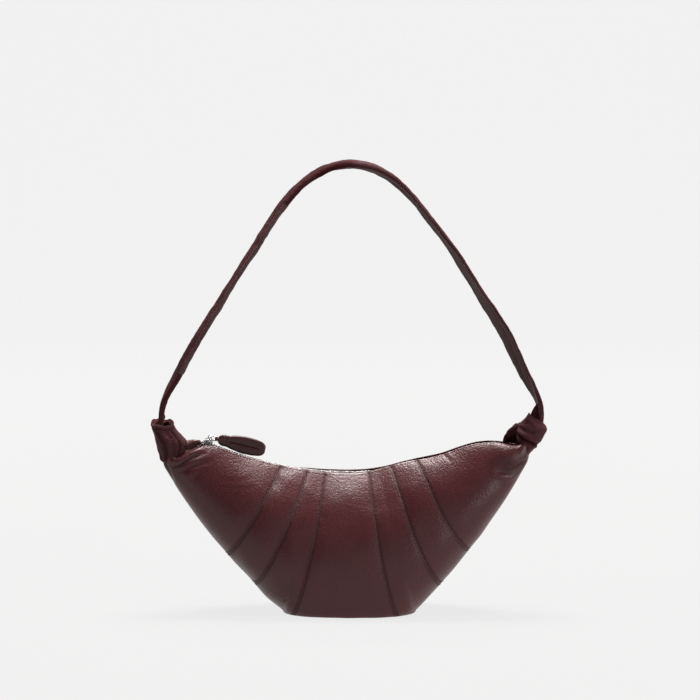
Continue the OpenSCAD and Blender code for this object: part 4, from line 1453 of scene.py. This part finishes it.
class BAG_OT_stage(bpy.types.Operator):
    """Set up the floor, the backdrop, the lamps and the camera"""
    bl_idname = "bag.stage"
    bl_label = "Stage"

    def execute(self, context):
        look = context.scene.bag_stage
        self.floor(look.backdrop, look.bounce)
        self.lamps(look.lamps, look.backdrop + 0.07)
        camera = bpy.data.objects.new("camera", bpy.data.cameras.new("camera"))
        context.scene.collection.objects.link(camera)
        camera.data.lens = look.lens
        camera.data.sensor_width = 36
        aim, away, tilt = Vector((0.0005, 0, 0.2632)), 3.0, math.radians(6)
        camera.location = aim + away * Vector((0, -math.cos(tilt), math.sin(tilt)))
        camera.rotation_euler = (aim - camera.location).to_track_quat("-Z", "Y").to_euler()
        context.scene.camera = camera
        context.scene.view_settings.view_transform = "Standard"
        return {"FINISHED"}

    def floor(self, glow, bounce):
        """A sheet of paper that runs under the bag and bends up behind it, in metres."""
        half, back, bow, top = 9.0, 2.8, 0.8, 4.0
        turns = np.linspace(0.1, math.pi / 2, 14)
        profile = [(-half, 0.0), (back, 0.0)]
        profile += [(back + bow * math.sin(t), bow - bow * math.cos(t)) for t in turns]
        profile += [(back + bow, top)]
        points = [(x, y, z) for y, z in profile for x in (-half, half)]
        faces = [(2 * k, 2 * k + 1, 2 * k + 3, 2 * k + 2) for k in range(len(profile) - 1)]
        g = Graph("studio paper")
        seen = g.node("ShaderNodeLightPath", out="Is Camera Ray")
        away = g.node("ShaderNodeVectorMath", {"operation": "LENGTH"}, {0: g.place()}, "Value")
        away = g.node("ShaderNodeMapRange", {"clamp": True, "interpolation_type": "SMOOTHSTEP"},
                      {"Value": away, 1: 0.2, 2: 2.4, 3: 0.0, 4: 1.0}, 0)
        plain = g.node("ShaderNodeBsdfDiffuse", {},
                       {"Color": g.vary(g.noise(3.0), (1, 1, 1), 0.029, 0.031)}, "BSDF")
        bright = seen * (away * 0.058 + (glow - bounce)) + bounce
        shine = g.node("ShaderNodeEmission", {}, {"Color": (1, 1, 1, 1), "Strength": bright},
                       "Emission")
        surface = g.node("ShaderNodeAddShader", {}, {0: plain, 1: shine})
        paper = make_mesh("floor", np.array(points) * 1000, faces, g.finish(surface))
        paper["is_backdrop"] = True

    def lamps(self, level, glow):
        """The lamps, and a dim room that the camera sees as bright as the backdrop."""
        world = bpy.data.worlds.new("studio")
        bpy.context.scene.world = world
        world.use_nodes = True
        sky = world.node_tree.nodes["Background"]
        nodes, links = world.node_tree.nodes, world.node_tree.links
        seen, air = nodes.new("ShaderNodeLightPath"), nodes.new("ShaderNodeMix")
        air.data_type = "RGBA"
        air.inputs["A"].default_value = (0.02 * level,) * 3 + (1,)
        air.inputs["B"].default_value = (glow,) * 3 + (1,)
        links.new(seen.outputs["Is Camera Ray"], air.inputs["Factor"])
        links.new(air.outputs["Result"], sky.inputs["Color"])
        # Name, place, length and width, power and colour of each lamp
        for name, place, size, power, colour in (
                ("overhead", (0, 0.5, 2.5), (1.2, 0.65), 162, (1, 0.95, 0.93)),
                ("top", (0, -0.25, 2.5), (1.0, 0.5), 34, (1, 0.95, 0.93)),
                ("right", (2.2, -1.3, 0.5), (1.4, 1.4), 42, (1, 1, 1)),
                ("left", (-2.3, -1.0, 0.2), (0.8, 0.8), 5, (1, 1, 1)),
                ("front", (0.2, -2.6, 0.75), (1.2, 0.8), 3, (1, 1, 1))):
            light = bpy.data.lights.new(name, "AREA")
            light.shape, light.size, light.size_y = "RECTANGLE", *size
            light.energy = power * level
            light.color = colour
            lamp = bpy.data.objects.new(name, light)
            lamp.location = place
            aim = Vector((0, 0, 0.12)) - Vector(place)
            lamp.rotation_euler = aim.to_track_quat("-Z", "Y").to_euler()
            bpy.context.scene.collection.objects.link(lamp)


OPERATORS = (BAG_OT_leather, BAG_OT_stitches, BAG_OT_base, BAG_OT_lining, BAG_OT_zip, BAG_OT_slider,
             BAG_OT_puller, BAG_OT_knots, BAG_OT_strap, BAG_OT_stage)
GROUPS = {"bag_leather": BagLeather, "bag_thread": BagThread, "bag_zip": BagZip, "bag_stage": BagStage}


class BAG_PT_panel(bpy.types.Panel):
    """Lists the bag's sizes, colours and pieces"""
    bl_idname = "BAG_PT_panel"
    bl_label = "Half moon bag"
    bl_space_type = "VIEW_3D"
    bl_region_type = "UI"
    bl_category = "Bag"

    def draw(self, context):
        for name, group in GROUPS.items():
            box = self.layout.box()
            for key in group.__annotations__:
                box.prop(getattr(context.scene, name), key)
        for operator in OPERATORS:
            self.layout.operator(operator.bl_idname)


def register():
    for group in GROUPS.values():
        bpy.utils.register_class(group)
    for name, group in GROUPS.items():
        setattr(bpy.types.Scene, name, PointerProperty(type=group))
    for made in (*OPERATORS, BAG_PT_panel):
        bpy.utils.register_class(made)


def unregister():
    for made in (BAG_PT_panel, *reversed(OPERATORS)):
        bpy.utils.unregister_class(made)
    for name, group in GROUPS.items():
        delattr(bpy.types.Scene, name)
        bpy.utils.unregister_class(group)


def main():
    register()
    for operator in OPERATORS:
        group, name = operator.bl_idname.split(".")
        getattr(getattr(bpy.ops, group), name)()
    boxes = {"cad": CAD_BOX, "visual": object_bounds()}
    {name: [list(corner) for corner in box] for name, box in boxes.items()}


if __name__ == "__main__":
    main()
